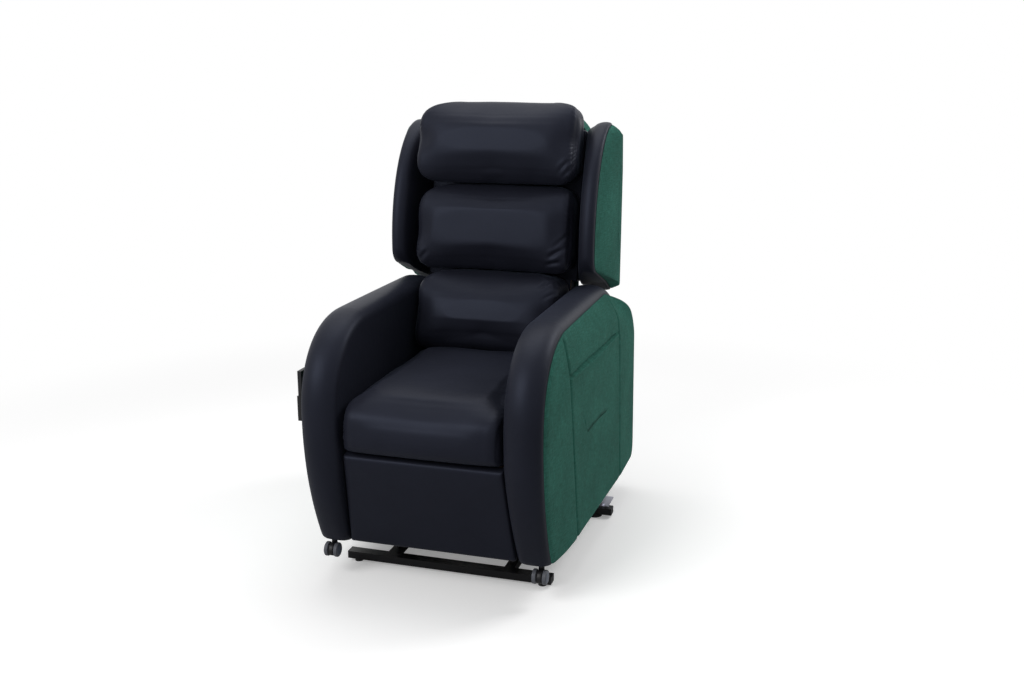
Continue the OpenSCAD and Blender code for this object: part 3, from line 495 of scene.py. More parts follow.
def inflated(mesh, cap):
    """The mesh swollen by cloth under pressure and held at its base, each point moved by cap at most."""
    rest = points_of(mesh)
    work = linked("cushion_cloth", mesh)
    group = work.vertex_groups.new(name="held")
    group.add([int(i) for i in np.nonzero(rest[:, 2] < HELD_RISE * MM)[0]], 1.0, "REPLACE")
    cloth = work.modifiers.new("Cloth", "CLOTH")
    wanted = cloth.settings
    wanted.quality = 5
    wanted.mass = 0.4
    wanted.tension_stiffness, wanted.compression_stiffness = 16, 4
    wanted.shear_stiffness = 5
    wanted.bending_stiffness = 1.5
    wanted.use_pressure = True
    wanted.uniform_pressure_force = 4
    wanted.effector_weights.gravity = 0
    wanted.vertex_group_mass = "held"
    scene = bpy.context.scene
    cloth.point_cache.frame_start, cloth.point_cache.frame_end = 1, CLOTH_FRAMES
    for step in range(1, CLOTH_FRAMES + 1):
        scene.frame_set(step)
    swollen = baked(work)
    scene.frame_set(1)
    move = evened(swollen, points_of(swollen) - rest, CLOTH_EVENING)
    far = np.linalg.norm(move, axis=1, keepdims=True)
    set_points(swollen, rest + move * np.minimum(1, cap / np.maximum(far, 1e-9)))
    return swollen


def finer(mesh):
    work = linked("cushion_fine", mesh)
    smoothed(work, 1)
    return baked(work)


# ---------------- cushions

PAD_RING, PAD_STATIONS = 48, 28

# A cushion lies on its own base: x across, run along it from run0 to run1, and rise away from it.
# taper: loss of height along the run; end: size of the end faces; firm: how late it narrows to them;
# dome: swelling of the ends; crest, belly: squareness of the upper and lower edge; cell: mesh size.
# seam_in, seed, pitch, gathers, rake: place, pattern, spacing, depth and lean of the end seams' gathers.
# billow: unevenness; folds: pinched lines as x0, run0, x1, run1, depth, width.
# corners: squareness of the face's upper and lower corners, the sitter's right one first.
# spread: widening of the face; droop: sag of its lower edge from droop_from of the rise up.
# base: lowest rise; lip: drop of the front's foot; fill: softness.
CUSHION = dict(
    dome=4, crest=2.9, belly=5.5, firm=14, cell=None, billow=1.6, rake=0, folds=(), spread=0, droop=0,
    droop_from=0.5, base=0, lip=0, fill=0.75)
SEAT = dict(
    CUSHION, rise=151, taper=-0.02, run0=-476, run1=112, half=204, end=0.9, dome=3, crest=7, belly=2.8,
    firm=8, cell=6.5, seam_in=4, seed=1.0, pitch=9, gathers=0.9, billow=1.8, lip=5,
    corners=((12, 12), (14, 14)), fill=0.7)
PILLOW = dict(CUSHION, base=1.3, pitch=12, end=0.93)
PILLOWS = {
    "lumbar": dict(
        PILLOW, rise=186, taper=-0.2, run0=-60, run1=160, half=201, belly=8, seam_in=3, seed=2.1, gathers=0.8,
        droop=10, droop_from=0.45, corners=((4.5, 6), (9, 9)),
        folds=((150, 118, 196, 148, 2.6, 4), (164, 92, 200, 112, 1.8, 4))),
    "middle": dict(
        PILLOW, rise=140, taper=-0.04, run0=162, run1=402, half=216, dome=6, seam_in=1, seed=3.4, gathers=1.7,
        rake=2, droop=9, spread=0.02, corners=((4, 8), (7, 10)),
        folds=((166, 206, 210, 232, 3.6, 4.5), (156, 190, 200, 198, 3.0, 4), (180, 232, 210, 268, 2.0, 4),
               (-208, 188, -176, 210, 2.4, 4.5))),
    "head": dict(
        PILLOW, rise=152, taper=-0.1, run0=404, run1=628, half=218, end=0.94, seam_in=0, seed=4.6, pitch=10,
        gathers=1.7, billow=1.8, rake=2, droop=9, spread=0.035, corners=((4, 7), (6, 8)),
        folds=((180, 436, 212, 470, 2.2, 4), (194, 428, 214, 450, 1.8, 3.5))),
}


def pad_rings(spec):
    """Rings of a cushion's core on its flat base, from one domed end to the other."""
    run0, run1, rise, half = spec["run0"] + 1, spec["run1"] - 1, spec["rise"] - 2, spec["half"]
    rings = []
    for j in range(PAD_STATIONS + 1):
        turn = math.sin(math.radians(-90 + 180 * j / PAD_STATIONS))
        s = spec["end"] + (1 - spec["end"]) * math.sqrt(max(0.0, 1 - abs(turn) ** spec["firm"]))
        ring = []
        for i in range(PAD_RING):
            a = 2 * math.pi * i / PAD_RING
            front, above = math.cos(a) > 0, math.sin(a) > 0
            c = spow(math.cos(a), 3 if front else 7)
            w = spow(math.sin(a), spec["crest" if above else "belly"] if front else 7)
            run = (run0 + run1) / 2 + (run1 - run0) / 2 * w * (0.4 + 0.6 * s)
            high = rise * (1 + spec["taper"] * (run - run0) / (run1 - run0)) * (0.5 + 0.5 * c)
            ring.append((half * turn, run, high * s))
        rings.append(ring)
    middle = ((run0 + run1) / 2, rise * 0.42)
    first, last = ([p[1:] for p in rings[at]] for at in (0, -1))
    for share, out in ((0.93, 0.3), (0.78, 0.62), (0.55, 0.88), (0.25, 1)):
        x = half + spec["dome"] * out
        rings.insert(0, at_x(-x, towards(first, middle, share)))
        rings.append(at_x(x, towards(last, middle, share)))
    return rings


def soft_limit(v, low, high, give):
    """Values kept between low and high, easing in over give."""
    v = np.where(v > high - give, high - give + give * np.tanh((v - high + give) / give), v)
    return np.where(v < low + give, low + give + give * np.tanh((v - low - give) / give), v)


def waves(t, seed, pitch):
    """An uneven row of ridges along t, from -1 to 1."""
    a, b, c = (math.sin(seed * k) * 3 for k in (1.3, 2.7, 4.1))
    return (0.55 * np.sin(2 * math.pi * t / pitch + a + 1.2 * np.sin(t / pitch * 1.7 + b))
            + 0.3 * np.sin(2 * math.pi * t / (pitch * 0.63) + c)
            + 0.25 * np.sin(2 * math.pi * t / (pitch * 1.9) + a + b))


def gather(co, normal, spec):
    """Sewn end seams with their gathers, and pinched folds."""
    sizes = bpy.context.scene.recliner_sizes
    x, run, rise = co[:, 0] / MM, co[:, 1] / MM, co[:, 2] / MM
    mid_run, mid_rise = (spec["run0"] + spec["run1"]) / 2, spec["rise"] * 0.45
    angle = np.arctan2(run - mid_run, rise - mid_rise)
    round_mm = angle * (spec["run1"] - spec["run0"] + spec["rise"]) / 4
    lift = np.zeros(len(co))
    open_side = np.clip((rise - 8) / 20, 0, 1)
    reach = np.maximum(
        np.abs(run - mid_run) / (spec["run1"] - spec["run0"]), np.abs(rise - mid_rise) / spec["rise"])
    rim = ease((reach - 0.22) / 0.2)
    for side, seed in ((1, spec["seed"]), (-1, spec["seed"] + 5)):
        wander = 1.6 * np.sin(round_mm / 47 + seed) + spec["rake"] * (run - mid_run) / 100
        e = side * x - (spec["half"] - spec["seam_in"]) - wander
        near = np.exp(-(e / 3.2) ** 2)
        lift -= sizes.seam / MM * near * open_side * rim
        depth = sizes.pleat / MM * (0.55 + 0.45 * np.sin(round_mm / 31 + seed * 2)) * spec["gathers"]
        band = ease((e + 1) / 3) + 0.5 * np.exp(-((e + 6) / 6) ** 2)
        lift += depth * waves(round_mm, seed, spec["pitch"]) * band * open_side * rim
        lift += 1.6 * np.exp(-((e + 14) / 12) ** 2) * open_side * rim
    for x0, r0, x1, r1, deep, wide in spec["folds"]:
        dx, dr = x1 - x0, r1 - r0
        along = np.clip(((x - x0) * dx + (run - r0) * dr) / (dx * dx + dr * dr), 0, 1)
        off = np.hypot(x - x0 - along * dx, run - r0 - along * dr)
        fold = deep * np.sin(math.pi * np.clip(along, 0.02, 0.98)) ** 0.7
        front = np.clip((rise - spec["rise"] * 0.35) / 20, 0, 1)
        bank = 0.55 * np.exp(-((off - 2.1 * wide) / (1.3 * wide)) ** 2)
        lift += front * fold * (bank - np.exp(-(off / wide) ** 2))
    broad = np.array([noise.noise(Vector((p[0] * 9, p[1] * 9, p[2] * 7 + spec["seed"]))) for p in co])
    lift += spec["billow"] * broad * open_side
    return co + normal * (lift * MM)[:, None]


LIP_RUN, SPREAD_RISE = -395, 40


def settled(co, wide, spec):
    """Points in millimetres with rounded corners, a face that spreads, and a drooping lower edge."""
    x, run, rise = co.T
    half_run = (spec["run1"] - spec["run0"]) / 2
    t = (run - spec["run0"]) / half_run - 1
    high, low = spec["corners"]
    n = np.where(t > 0, np.where(x < 0, high[0], high[1]), np.where(x < 0, low[0], low[1]))
    corner = (1 - np.minimum(np.abs(t), 0.985) ** n) ** (1 / n)
    face = ease((rise - SPREAD_RISE) / 70) * (1 - ease((rise - spec["rise"] + 14) / 30))
    full = 1 + spec["spread"] * face
    limit = wide * full
    x = np.clip(x * full, -limit, limit) * corner
    under = ease((spec["run0"] + 0.55 * half_run - run) / (0.5 * half_run))
    run = run - spec["droop"] * under * ease((rise - spec["droop_from"] * spec["rise"]) / 40)
    rise = np.maximum(rise, spec["base"])
    rise = rise - spec["lip"] * ease((LIP_RUN - run) / 20) * (1 - ease((rise - 10) / 40))
    return np.stack([x, run, rise], 1)


def cushion(name, body, node, place, spec):
    """One stuffed cushion: core form, cloth under pressure, then its seams, gathers and folds."""
    sizes = bpy.context.scene.recliner_sizes
    wide = spec["half"] + spec["dome"]
    mesh = remeshed(loft(pad_rings(spec)), (spec["cell"] or sizes.voxel / MM) * MM)
    fine = finer(inflated(mesh, sizes.swell))
    co = points_of(fine)
    co[:, 0] = soft_limit(co[:, 0], -wide * MM, wide * MM, 4 * MM)
    co[:, 1] = soft_limit(co[:, 1], (spec["run0"] - 2) * MM, (spec["run1"] + 2) * MM, 9 * MM)
    co[:, 2] = soft_limit(co[:, 2], 0, (spec["rise"] + 6) * MM, 5 * MM)
    set_points(fine, co)
    normal = np.empty(len(co) * 3)
    fine.vertices.foreach_get("normal", normal)
    co = gather(co, normal.reshape(-1, 3), spec)
    set_points(fine, settled(co / MM, wide, spec) * MM)
    fine.transform(place)
    return dress(fine, name, body, "black_vinyl", replaces=(node,), fill=spec["fill"])


# ---------------- arms

def arm_outline(swell, lift, inset, low):
    """Outline of an arm in (y, z), swollen ahead and upwards, then cut in, by low at its foot."""
    top, foot = ARM_TOP + lift - inset, ARM_FOOT + low
    front = []
    for i in range(FRONT_STEPS):
        u = 1 - i / FRONT_STEPS
        nose = ARM_FRONT + swell * (1 - u * u) - inset
        front.append((TOE_BACK * u * u - nose, ARM_BROW - (ARM_BROW - foot) * u))
    brow = (BROW_REACH - ARM_FRONT, ARM_BROW)
    back = (ARM_SHOULDER[0] - SHOULDER_REACH, ARM_SHOULDER[1])
    heel, shoulder = (ARM_HEEL - inset, foot), (ARM_SHOULDER[0] - inset, ARM_SHOULDER[1])
    return (front + quarter(brow, BROW_REACH + swell - inset, top - brow[1], 2.35, 180, 90, BROW_STEPS)
            + quarter(back, SHOULDER_REACH - inset, top - back[1], 1.5, 90, 0, SHOULDER_STEPS)
            + line(shoulder, heel, 12) + line(heel, front[0], 26))


# Across the band: x, swell, lift, inset
BAND_INSET = 26
ARM_BAND = (
    (ARM_IN, 0, 0, BAND_INSET), (209.6, 0, 0, 20), (211.4, 0.2, 0.1, 14.5), (214.6, 0.5, 0.2, 10),
    (219.4, 1.2, 0.5, 6.2), (226, 2.6, 1, 3), (234, 5, 2, 1.2), (244, 7.6, 3, 0.3), (258, 9.6, 3.8, 0),
    (272, 8, 3.2, 0), (283, 4.6, 2, 0.7), (291, 2, 0.9, 2.8), (297, 0.8, 0.3, 6.2), (301.2, 0.2, 0.1, 10.6),
    (303.6, 0, 0, 15), (304.8, 0, 0, 19.4), (ARM_OUT, 0, 0, BAND_INSET))


def splay(x, z):
    """How far the band's inner side leans outwards near its foot."""
    return BAND_SPLAY * max(0.0, SPLAY_TOP - z) / SPLAY_DEEP * max(0.0, 1 - (x - ARM_IN) / SPLAY_ACROSS)


def arm_band(side):
    inner, outer = arm_outline(0, 0, BAND_INSET, 3), arm_outline(0, 0, BAND_INSET, 8)
    rings = [at_x(ARM_IN, towards(inner, ARM_CENTRE, share)) for share in (0.2, 0.42, 0.64, 0.82, 0.94)]
    rings += [at_x(x, arm_outline(swell, lift, inset, 0.16 * inset)) for x, swell, lift, inset in ARM_BAND]
    rings += [at_x(ARM_OUT, towards(outer, ARM_CENTRE, share)) for share in (0.8, 0.3)]
    return loft(sided([[(x + splay(x, z), y, z) for x, y, z in ring] for ring in rings], side))


ARM_EDGE = np.array(arm_outline(0, 0, 0, 0)[:FRONT_STEPS + BROW_STEPS + SHOULDER_STEPS])
# Rise of the outer panel by the distance inside the arm's front and top outline
PANEL_RISE = (
    (0, 0), (21, 0.3), (33, 6.0), (38, 7.4), (46, 8.4), (60, 9.8), (90, 13), (110, 15.4), (130, 17),
    (160, 17.6))


def panel_depth(y, z):
    """Distance of points inside the arm's front and top outline."""
    at = np.stack([np.atleast_1d(y), np.atleast_1d(z)], 1).astype(float)
    best = np.full(len(at), np.inf)
    for a, b in zip(ARM_EDGE, ARM_EDGE[1:]):
        along = np.clip(((at - a) @ (b - a)) / ((b - a) @ (b - a)), 0, 1)
        best = np.minimum(best, np.linalg.norm(at - a - along[:, None] * (b - a), axis=1))
    return best


def rearward(y):
    """From 0 over most of the arm to 1 at its rear."""
    return ease((y - 215) / 170)


def panel_face(y, z):
    """Where the outer panel's face lies across the chair, for points in (y, z)."""
    y, z = np.atleast_1d(y).astype(float), np.atleast_1d(z).astype(float)
    depth, rear = panel_depth(y, z), rearward(y)
    near = np.interp(depth, *zip(*PANEL_RISE))
    gate = ease((depth - 21) / 62)
    along = PANEL_FLARE * np.clip((y - FLARE_FROM) / FLARE_RUN, 0, 1)
    return PANEL_BACK + near + (PANEL_REAR_RISE - near) * rear + along * (gate + (1 - gate) * rear)


def off_seam(seam, y, z):
    """Distance of a point from a seam, positive towards the rear."""
    (y0, z0), (y1, z1) = seam
    dy, dz = y1 - y0, z1 - z0
    return ((y - y0) * dz - (z - z0) * dy) / math.hypot(dy, dz)


def seam_at(seam, z):
    (y0, z0), (y1, z1) = seam
    return y0 + (y1 - y0) * (z - z0) / (z1 - z0)


# Rings of the outer panel: share of its rim, share of the face's rise, and drop below it; then level rings
PANEL_RIM = (
    (0.993, 0, 0), (1, 0.12, 0), (1, 0.5, 0), (0.9985, 1, 4.2), (0.9945, 1, 1.5), (0.988, 1, 0.4))
PANEL_LEVEL = (
    0.976, 0.95, 0.91, 0.86, 0.8, 0.74, 0.67, 0.6, 0.52, 0.44, 0.36, 0.28, 0.2, 0.13, 0.07, 0.02)
SEAM_CUTS = (-9, -3.4, 0, 3.4, 9)
MOUTH_CUTS = (-20, -8, -1, 1.5, 6, 10, 26)
RIM_TURN = 122


def panel_rings():
    """Rings of the left outer panel, from the middle of its back to the middle of its face."""
    rim = []
    for (y0, z0), (y1, z1) in zip(arm_outline(0, 0, 21, 2), arm_outline(0, 0, 7, 6)):
        rear = float(rearward(y1)) * (1 if z1 > RIM_TURN else 0.2)
        rim.append((y0 + (y1 - y0) * rear, z0 + (z1 - z0) * rear))
    rings = [at_x(PANEL_BACK, towards(rim, ARM_CENTRE, share)) for share in (0.2, 0.6, 0.97)]
    for share, rise, drop in PANEL_RIM + tuple((share, 1, 0) for share in PANEL_LEVEL):
        ring = towards(rim, ARM_CENTRE, share)
        high = panel_face(*zip(*ring)) - PANEL_BACK
        face = PANEL_BACK + np.maximum(0.25 * rise, high * rise - np.minimum(drop, 0.5 * high))
        rings.append([(x, y, z) for x, (y, z) in zip(face, ring)])
    return rings


def cut(bm, place, across):
    """New edges where a plane meets the skin, for the stitching to bend."""
    bmesh.ops.bisect_plane(bm, geom=bm.verts[:] + bm.edges[:] + bm.faces[:], plane_co=place, plane_no=across)


def stitched(y, z):
    """How deep the seams and the pocket's mouth pull the outer panel in."""
    sizes = bpy.context.scene.recliner_sizes
    front, rear = off_seam(FRONT_SEAM, y, z), off_seam(REAR_SEAM, y, z)
    depth = 0.0
    for off in (front, rear):
        depth += sizes.side_seam / MM * math.exp(-(off / 3.6) ** 2)
        depth -= 0.9 * math.exp(-((abs(off) - 15) / 12) ** 2)
    if front > 0 > rear:
        window = min(1.0, front / 14) * min(1.0, -rear / 14)
        if POCKET_Z < z < POCKET_Z + 7:
            depth += sizes.mouth / MM * window
        elif z <= POCKET_Z:
            gape = math.sin(math.pi * front / (front - rear))
            depth -= 2.6 * gape * window * math.exp(-((POCKET_Z - z) / 45) ** 2)
    return depth


def arm_panel(side):
    bm = loft(panel_rings())
    for (y0, z0), (y1, z1) in (FRONT_SEAM, REAR_SEAM):
        across = Vector((0, z1 - z0, y0 - y1)).normalized()
        for off in SEAM_CUTS:
            cut(bm, (Vector((0, y0, z0)) + across * off) * MM, across)
    for z in MOUTH_CUTS:
        cut(bm, (0, 0, (POCKET_Z + z) * MM), (0, 0, 1))
    co = np.array([vert.co for vert in bm.verts]) / MM
    inside = ease((panel_depth(co[:, 1], co[:, 2]) - 22) / 16)
    for vert, (x, y, z), outer in zip(bm.verts, co, inside):
        if x >= PANEL_BACK + 0.7:
            vert.co.x -= stitched(y, z) * outer * MM
    return placed(bm, Matrix.Scale(side, 4, (1, 0, 0)))


HEM_THICK, HEM_TALL, HEM_STEPS, HEM_RING = 2.3, 5.8, 48, 10


def pocket_hem(side):
    """The rolled hem along the upper edge of the side pocket."""
    y0, y1 = seam_at(FRONT_SEAM, POCKET_Z) + 3, seam_at(REAR_SEAM, POCKET_Z) - 3
    rings = []
    for i in range(HEM_STEPS + 1):
        u = i / HEM_STEPS
        belly = math.sin(math.pi * u)
        end = min(1.0, 8 * u, 8 * (1 - u))
        y = y0 + (y1 - y0) * u
        z = POCKET_Z - 5.4 - 2.2 * belly + 0.7 * math.sin(9 * u + side)
        x = float(panel_face(y, z)[0]) + 2.4 * belly - 0.6 - 2.6 * (1 - end)
        ring = []
        for k in range(HEM_RING):
            a = 2 * math.pi * k / HEM_RING
            ring.append((x + HEM_THICK * spow(math.cos(a), 3), y, z + HEM_TALL * spow(math.sin(a), 3)))
        rings.append(ring)
    return loft(sided(rings, side))


# ---------------- wings and back

def wing_outline(back, inset, low):
    """Outline of a wing in (y, z), its front set back and all of it cut in, by low at its foot and rear."""
    y, z = WING_CENTRE
    top = WING_RISE - inset - 0.08 * back
    slope, trim = math.radians(WING_SLOPE), 0.3 * low
    at = (y - WING_REACH + WING_CORNER + back, WING_TURN - back * math.tan(slope))
    corner = []
    for i in range(14):
        turn = math.radians(180 + (90 - WING_SLOPE) * i / 14)
        r = WING_CORNER - inset - (low - inset) * i / 14
        corner.append((at[0] + r * math.cos(turn), at[1] + r * math.sin(turn)))
    r = WING_CORNER - low
    foot = (at[0] - r * math.sin(slope), at[1] - r * math.cos(slope))
    heel = (WING_HEEL - trim, foot[1] - (WING_HEEL - trim - foot[0]) * math.tan(slope))
    knee = (foot[0] + 0.66 * (heel[0] - foot[0]), foot[1] + 0.66 * (heel[1] - foot[1]) + 7)
    rear = [(rear_y - trim, rear_z) for rear_y, rear_z in SHELL_REAR[3:5]]
    r = WING_CORNER - inset
    points = (quarter(WING_CENTRE, y - at[0] + r, top, 1.92, 90, 180, 30)
              + line((at[0] - r, z), (at[0] - r, at[1]), 4) + corner)
    edge = [foot, knee, heel, *rear, (y, z + top)]
    for p, q, steps in zip(edge, edge[1:], (9, 5, 16, 5, 4)):
        points += line(p, q, steps)
    return points


# Across the black roll: x, set back, inset, inset at the foot; then across the green panel
WING_BAND = (
    (223.5, 150, 16, 4), (224, 145, 12, -4), (233, 84, 10.5, -9), (241, 42, 9.6, -9), (245.4, 24, 8, -6),
    (249, 14.5, 6, -3), (254, 8, 3.6, -1), (261, 3.6, 1.4, 0), (269, 1.4, 0.2, 0), (277, 1.2, 0, 0),
    (284, 2.6, 0.6, 0.6), (288.6, 5.4, 2, 1.6), (291, 8.6, 4, 3.4), (291.6, 12, 7, 6))
WING_PANEL = (
    (292.3, 15, 9, 9), (292.4, 13, 6.6, 6.5), (293, 24, 6, 5.5), (296, 37, 6.6, 6), (300, 50, 8, 7.6),
    (304, 65, 9.6, 9.4), (308, 84, 11.4, 11), (311.5, 104, 13, 12.6), (314.5, 126, 14.6, 14),
    (317, 149, 16.2, 15.4), (318.6, 168, 19, 18), (319.2, 184, 24, 23))


def wing_part(side, slices, shares):
    """A skin through a wing's slices, closed over its outer face by rings at shares of the last slice."""
    x0, *first = slices[0]
    x1, *last = slices[-1]
    rings = [at_x(x0, towards(wing_outline(*first), WING_MIDDLE, share)) for share in (0.2, 0.5, 0.8)]
    rings += [at_x(x, wing_outline(*slice_cut)) for x, *slice_cut in slices]
    rings += [at_x(x1 + 0.4, towards(wing_outline(*last), WING_MIDDLE, share)) for share in shares]
    return loft(sided(rings, side))


def rear_at(z):
    """Depth of the shell's rear face at a height."""
    return float(np.interp(z, *zip(*((z, y) for y, z in SHELL_REAR))))


# The shell's grid runs from -1 to 1 across; within FLAT it is its rear face, and from TURNED out its sides
SHELL_ACROSS, SHELL_UP, FLAT, TURNED = 56, 60, 0.72, 0.846
SHELL_SEAMS, SHELL_SEAM_DEEP = (0.40, -0.40), 2


def shell():
    """The fabric-covered rear panel with its turned-in sides."""
    bm = bmesh.new()
    bmesh.ops.create_grid(bm, x_segments=SHELL_ACROSS, y_segments=SHELL_UP, size=1)
    r = SHELL_CORNER
    for vert in bm.verts:
        u, v = vert.co.x, (vert.co.y + 1) / 2
        z = SHELL_FOOT + SHELL_TALL * v
        high = clamp((z - SHELL_STEP_Z) / 30)
        half = SHELL_HALF + SHELL_STEP * high - 30 * max(0.0, (v - 0.92) / 0.08) ** 2
        front = 222 + (z - SHELL_FOOT) * math.tan(BACK_LEAN) * 0.98 + 28 * high + 34 * clamp((z - 1050) / 50)
        rear = rear_at(z) - 2 - 10 * max(0.0, v - 0.93) / 0.07
        if abs(u) < FLAT:
            crown = 1.6 * math.cos(abs(u) / FLAT * math.pi / 2)
            seam = sum(SHELL_SEAM_DEEP * math.exp(-((u - at) / 0.012) ** 2) for at in SHELL_SEAMS)
            x, y = u / FLAT * (half - r), rear + crown - seam
        elif abs(u) < TURNED:
            a = (abs(u) - FLAT) / (TURNED - FLAT) * math.pi / 2
            x, y = math.copysign(half - r + r * math.sin(a), u), rear - r + r * math.cos(a)
        else:
            inwards = (abs(u) - TURNED) / (1 - TURNED)
            x, y = math.copysign(half, u), rear - r - (rear - r - front) * inwards
        vert.co = Vector((x, y, z)) * MM
    bmesh.ops.recalc_face_normals(bm, faces=bm.faces)
    return bm


CORNER_STEPS = 6


def rounded(half, depth, inset, radius, half_high=None):
    """Ring of a four-sided panel in (x, y) with round corners, its far edge of its own half width."""
    far = half_high or half
    in_by = inset + radius
    corners = (
        (far - in_by, depth - in_by, 0), (in_by - far, depth - in_by, 90), (in_by - half, in_by, 180),
        (half - in_by, in_by, 270))
    ring = []
    for (x, y, a), (next_x, next_y, _) in zip(corners, corners[1:] + corners[:1]):
        for k in range(CORNER_STEPS + 1):
            t = math.radians(a + 90 * k / CORNER_STEPS)
            ring.append((x + radius * math.cos(t), y + radius * math.sin(t)))
        ring += line(ring[-1], (next_x + radius * math.cos(t), next_y + radius * math.sin(t)), 12)[1:]
    return ring


def panel_pad(half, depth, layers, crown, radius, half_high=None):
    """A padded panel: layers give (height, inset) from its back to its face's edge."""
    def ring(inset, height, share=1):
        outline = rounded(half, depth, inset, radius, half_high)
        return [(x, y, height) for x, y in towards(outline, (0, depth / 2), share)]

    back, face = layers[0], layers[-1]
    rings = [ring(back[1], back[0], share) for share in (0.06, 0.5)]
    rings += [ring(inset, height) for height, inset in layers]
    for share in (0.9, 0.76, 0.6, 0.42, 0.2):
        rings.append(ring(face[1], face[0] + crown * (1 - share ** 2), share))
    return loft(rings)


# The linings of the board behind the pillows, low and high: half width, foot, climb and rear edge
LININGS = (("low", 204.6, -86, 236, -58), ("high", 221.5, 140, 423, -44))


def lining(half, foot, climb, rear):
    """The vinyl over one part of the board, open at its rear."""
    rings = []
    for inset, rise in ((0, rear), (0, -30), (0, -4), (0.5, -1), (1.4, 0.4), (3, 0.9)):
        rings.append([(x, y + foot, rise) for x, y in rounded(half, climb, inset, 6)])
    return placed(loft(rings, capped=(-1,)), BACK_FRAME)


# ---------------- castors

def turned(profile, x0, y, turn=1, off=0, steps=48):
    """A profile of (x, radius) in millimetres, set off from x0 to one side and spun about the axle's line."""
    bm = bmesh.new()
    verts = [bm.verts.new(Vector((x0 + turn * (off + x), y, AXLE_Z + r)) * MM) for x, r in profile]
    edges = [bm.edges.new(pair) for pair in zip(verts, verts[1:])]
    bmesh.ops.spin(
        bm, geom=verts + edges, cent=Vector((0, y, AXLE_Z)) * MM, axis=(1, 0, 0),
        angle=2 * math.pi, steps=steps, use_merge=True)
    bmesh.ops.remove_doubles(bm, verts=bm.verts, dist=1e-6)
    bmesh.ops.recalc_face_normals(bm, faces=bm.faces)
    return bm


TREAD_OFF, DISC_OFF = 7.2, 19.6
TREAD = (
    (0, 3), (0.2, 12.8), (0.8, 13.6), (0.7, 16.4), (1.3, 18), (2.8, 18.8), (5, 19), (5.4, 18.3), (6.2, 18.3),
    (6.6, 19), (8.8, 18.8), (10.4, 18), (11.1, 16.4), (11, 14.4), (11.6, 13.4), (12, 3))
DISC = ((0, 0.05), (0.1, 3.2), (0.5, 3.6), (0.2, 4.4), (-0.2, 13.0), (-0.7, 14.2), (-1.4, 14.6))
BODY = (
    (-6.2, 0.05), (-6.2, 15.2), (-5.4, 16.2), (-3.6, 16.8),
    (3.6, 16.8), (5.4, 16.2), (6.2, 15.2), (6.2, 0.05))
PIN = ((-7.4, 0.05), (-7.4, 3), (7.4, 3), (7.4, 0.05))


def castor(label, x, y):
    """One castor's body with its stem, its two wheels with their discs, and the pin between them."""
    fork, roller = label + "_fork", label + "_roller"
    body = turned(BODY, x, y)
    bmesh.ops.create_cone(
        body, cap_ends=True, segments=32, radius1=8 * MM, radius2=6 * MM, depth=26 * MM,
        matrix=Matrix.Translation(Vector((x, y + CASTOR_TRAIL, STEM_Z)) * MM))
    publish(body, label + "_body", fork, "black_plastic", replaces=(label + "_hood",))
    for tag, turn, replaces in (("outer", 1, (label + "_wheels",)), ("inner", -1, ())):
        tread, disc = turned(TREAD, x, y, turn, TREAD_OFF), turned(DISC, x, y, turn, DISC_OFF)
        publish(tread, f"{label}_{tag}_tread", roller, "grey_plastic", replaces=replaces, levels=1)
        publish(disc, f"{label}_{tag}_hub", roller, "grey_plastic", "hub_plastic", levels=1)
    publish(turned(PIN, x, y, steps=24), label + "_axle", roller, "grey_plastic", "bright_rod")


# ---------------- stage

# Each lamp: name, place, aim, power, width, height
LAMPS = (
    ("key", (-1.5, -3.0, 2.5), (0, 0, 0.55), 88, 2.2, 1.8),
    ("top", (-0.3, 0.4, 3.4), (0, 0, 0.5), 36, 2.2, 2.2),
    ("fill", (2.2, 1.5, 2.7), (0.3, 0.1, 0.9), 48, 1.4, 1.4))
CAMERA_PLACE, CAMERA_TURN = (0.928, -2.778, 1.301), (75.764, 0, 16.709)
LENS, SENSOR = 38.998, 36
FLOOR_RADIUS, FADE_FROM, FADE_TO = 9, 1.3, 2.6
WHITE = (1, 1, 1, 1)


def lamp(name, place, aim, power, width, height):
    data = bpy.data.lights.new(name, "AREA")
    data.shape, data.size, data.size_y, data.energy = "RECTANGLE", width, height, power
    light = linked(name, data)
    light.location = place
    light.rotation_euler = (Vector(aim) - Vector(place)).to_track_quat("-Z", "Y").to_euler()


def camera():
    data = bpy.data.cameras.new("camera")
    data.lens, data.sensor_width = LENS, SENSOR
    made = linked("camera", data)
    made.location = CAMERA_PLACE
    made.rotation_euler = [math.radians(a) for a in CAMERA_TURN]
    bpy.context.scene.camera = made


def paper():
    """A floor that keeps the shadow near the chair and fades to white around it."""
    look = Look("pale_floor")
    seen = look.node("LightPath", out="Is Camera Ray")
    far = look.node("VectorMath", {0: look.node("TexCoord", out="Object")}, out="Value", operation="LENGTH")
    reach = {"Value": far, "From Min": FADE_FROM, "From Max": FADE_TO}
    fade = look.node("MapRange", reach, interpolation_type="SMOOTHSTEP")
    dull = look.node("BsdfDiffuse", {"Color": (0.6, 0.6, 0.6, 1)})
    lifted = look.node("AddShader", {
        0: look.node("BsdfDiffuse", {"Color": (0.9, 0.9, 0.9, 1)}),
        1: look.node("Emission", {"Color": WHITE, "Strength": 0.25})})
    white = look.node("Emission", {"Color": WHITE, "Strength": 1.0})
    shown = look.node("MixShader", {0: fade, 1: lifted, 2: white})
    return look.close(look.node("MixShader", {0: seen, 1: dull, 2: shown}))


def floor():
    bm = bmesh.new()
    bmesh.ops.create_circle(bm, cap_ends=True, segments=96, radius=FLOOR_RADIUS)
    mesh = mesh_of(bm, "floor")
    mesh.materials.append(paper())
    linked("floor", mesh)


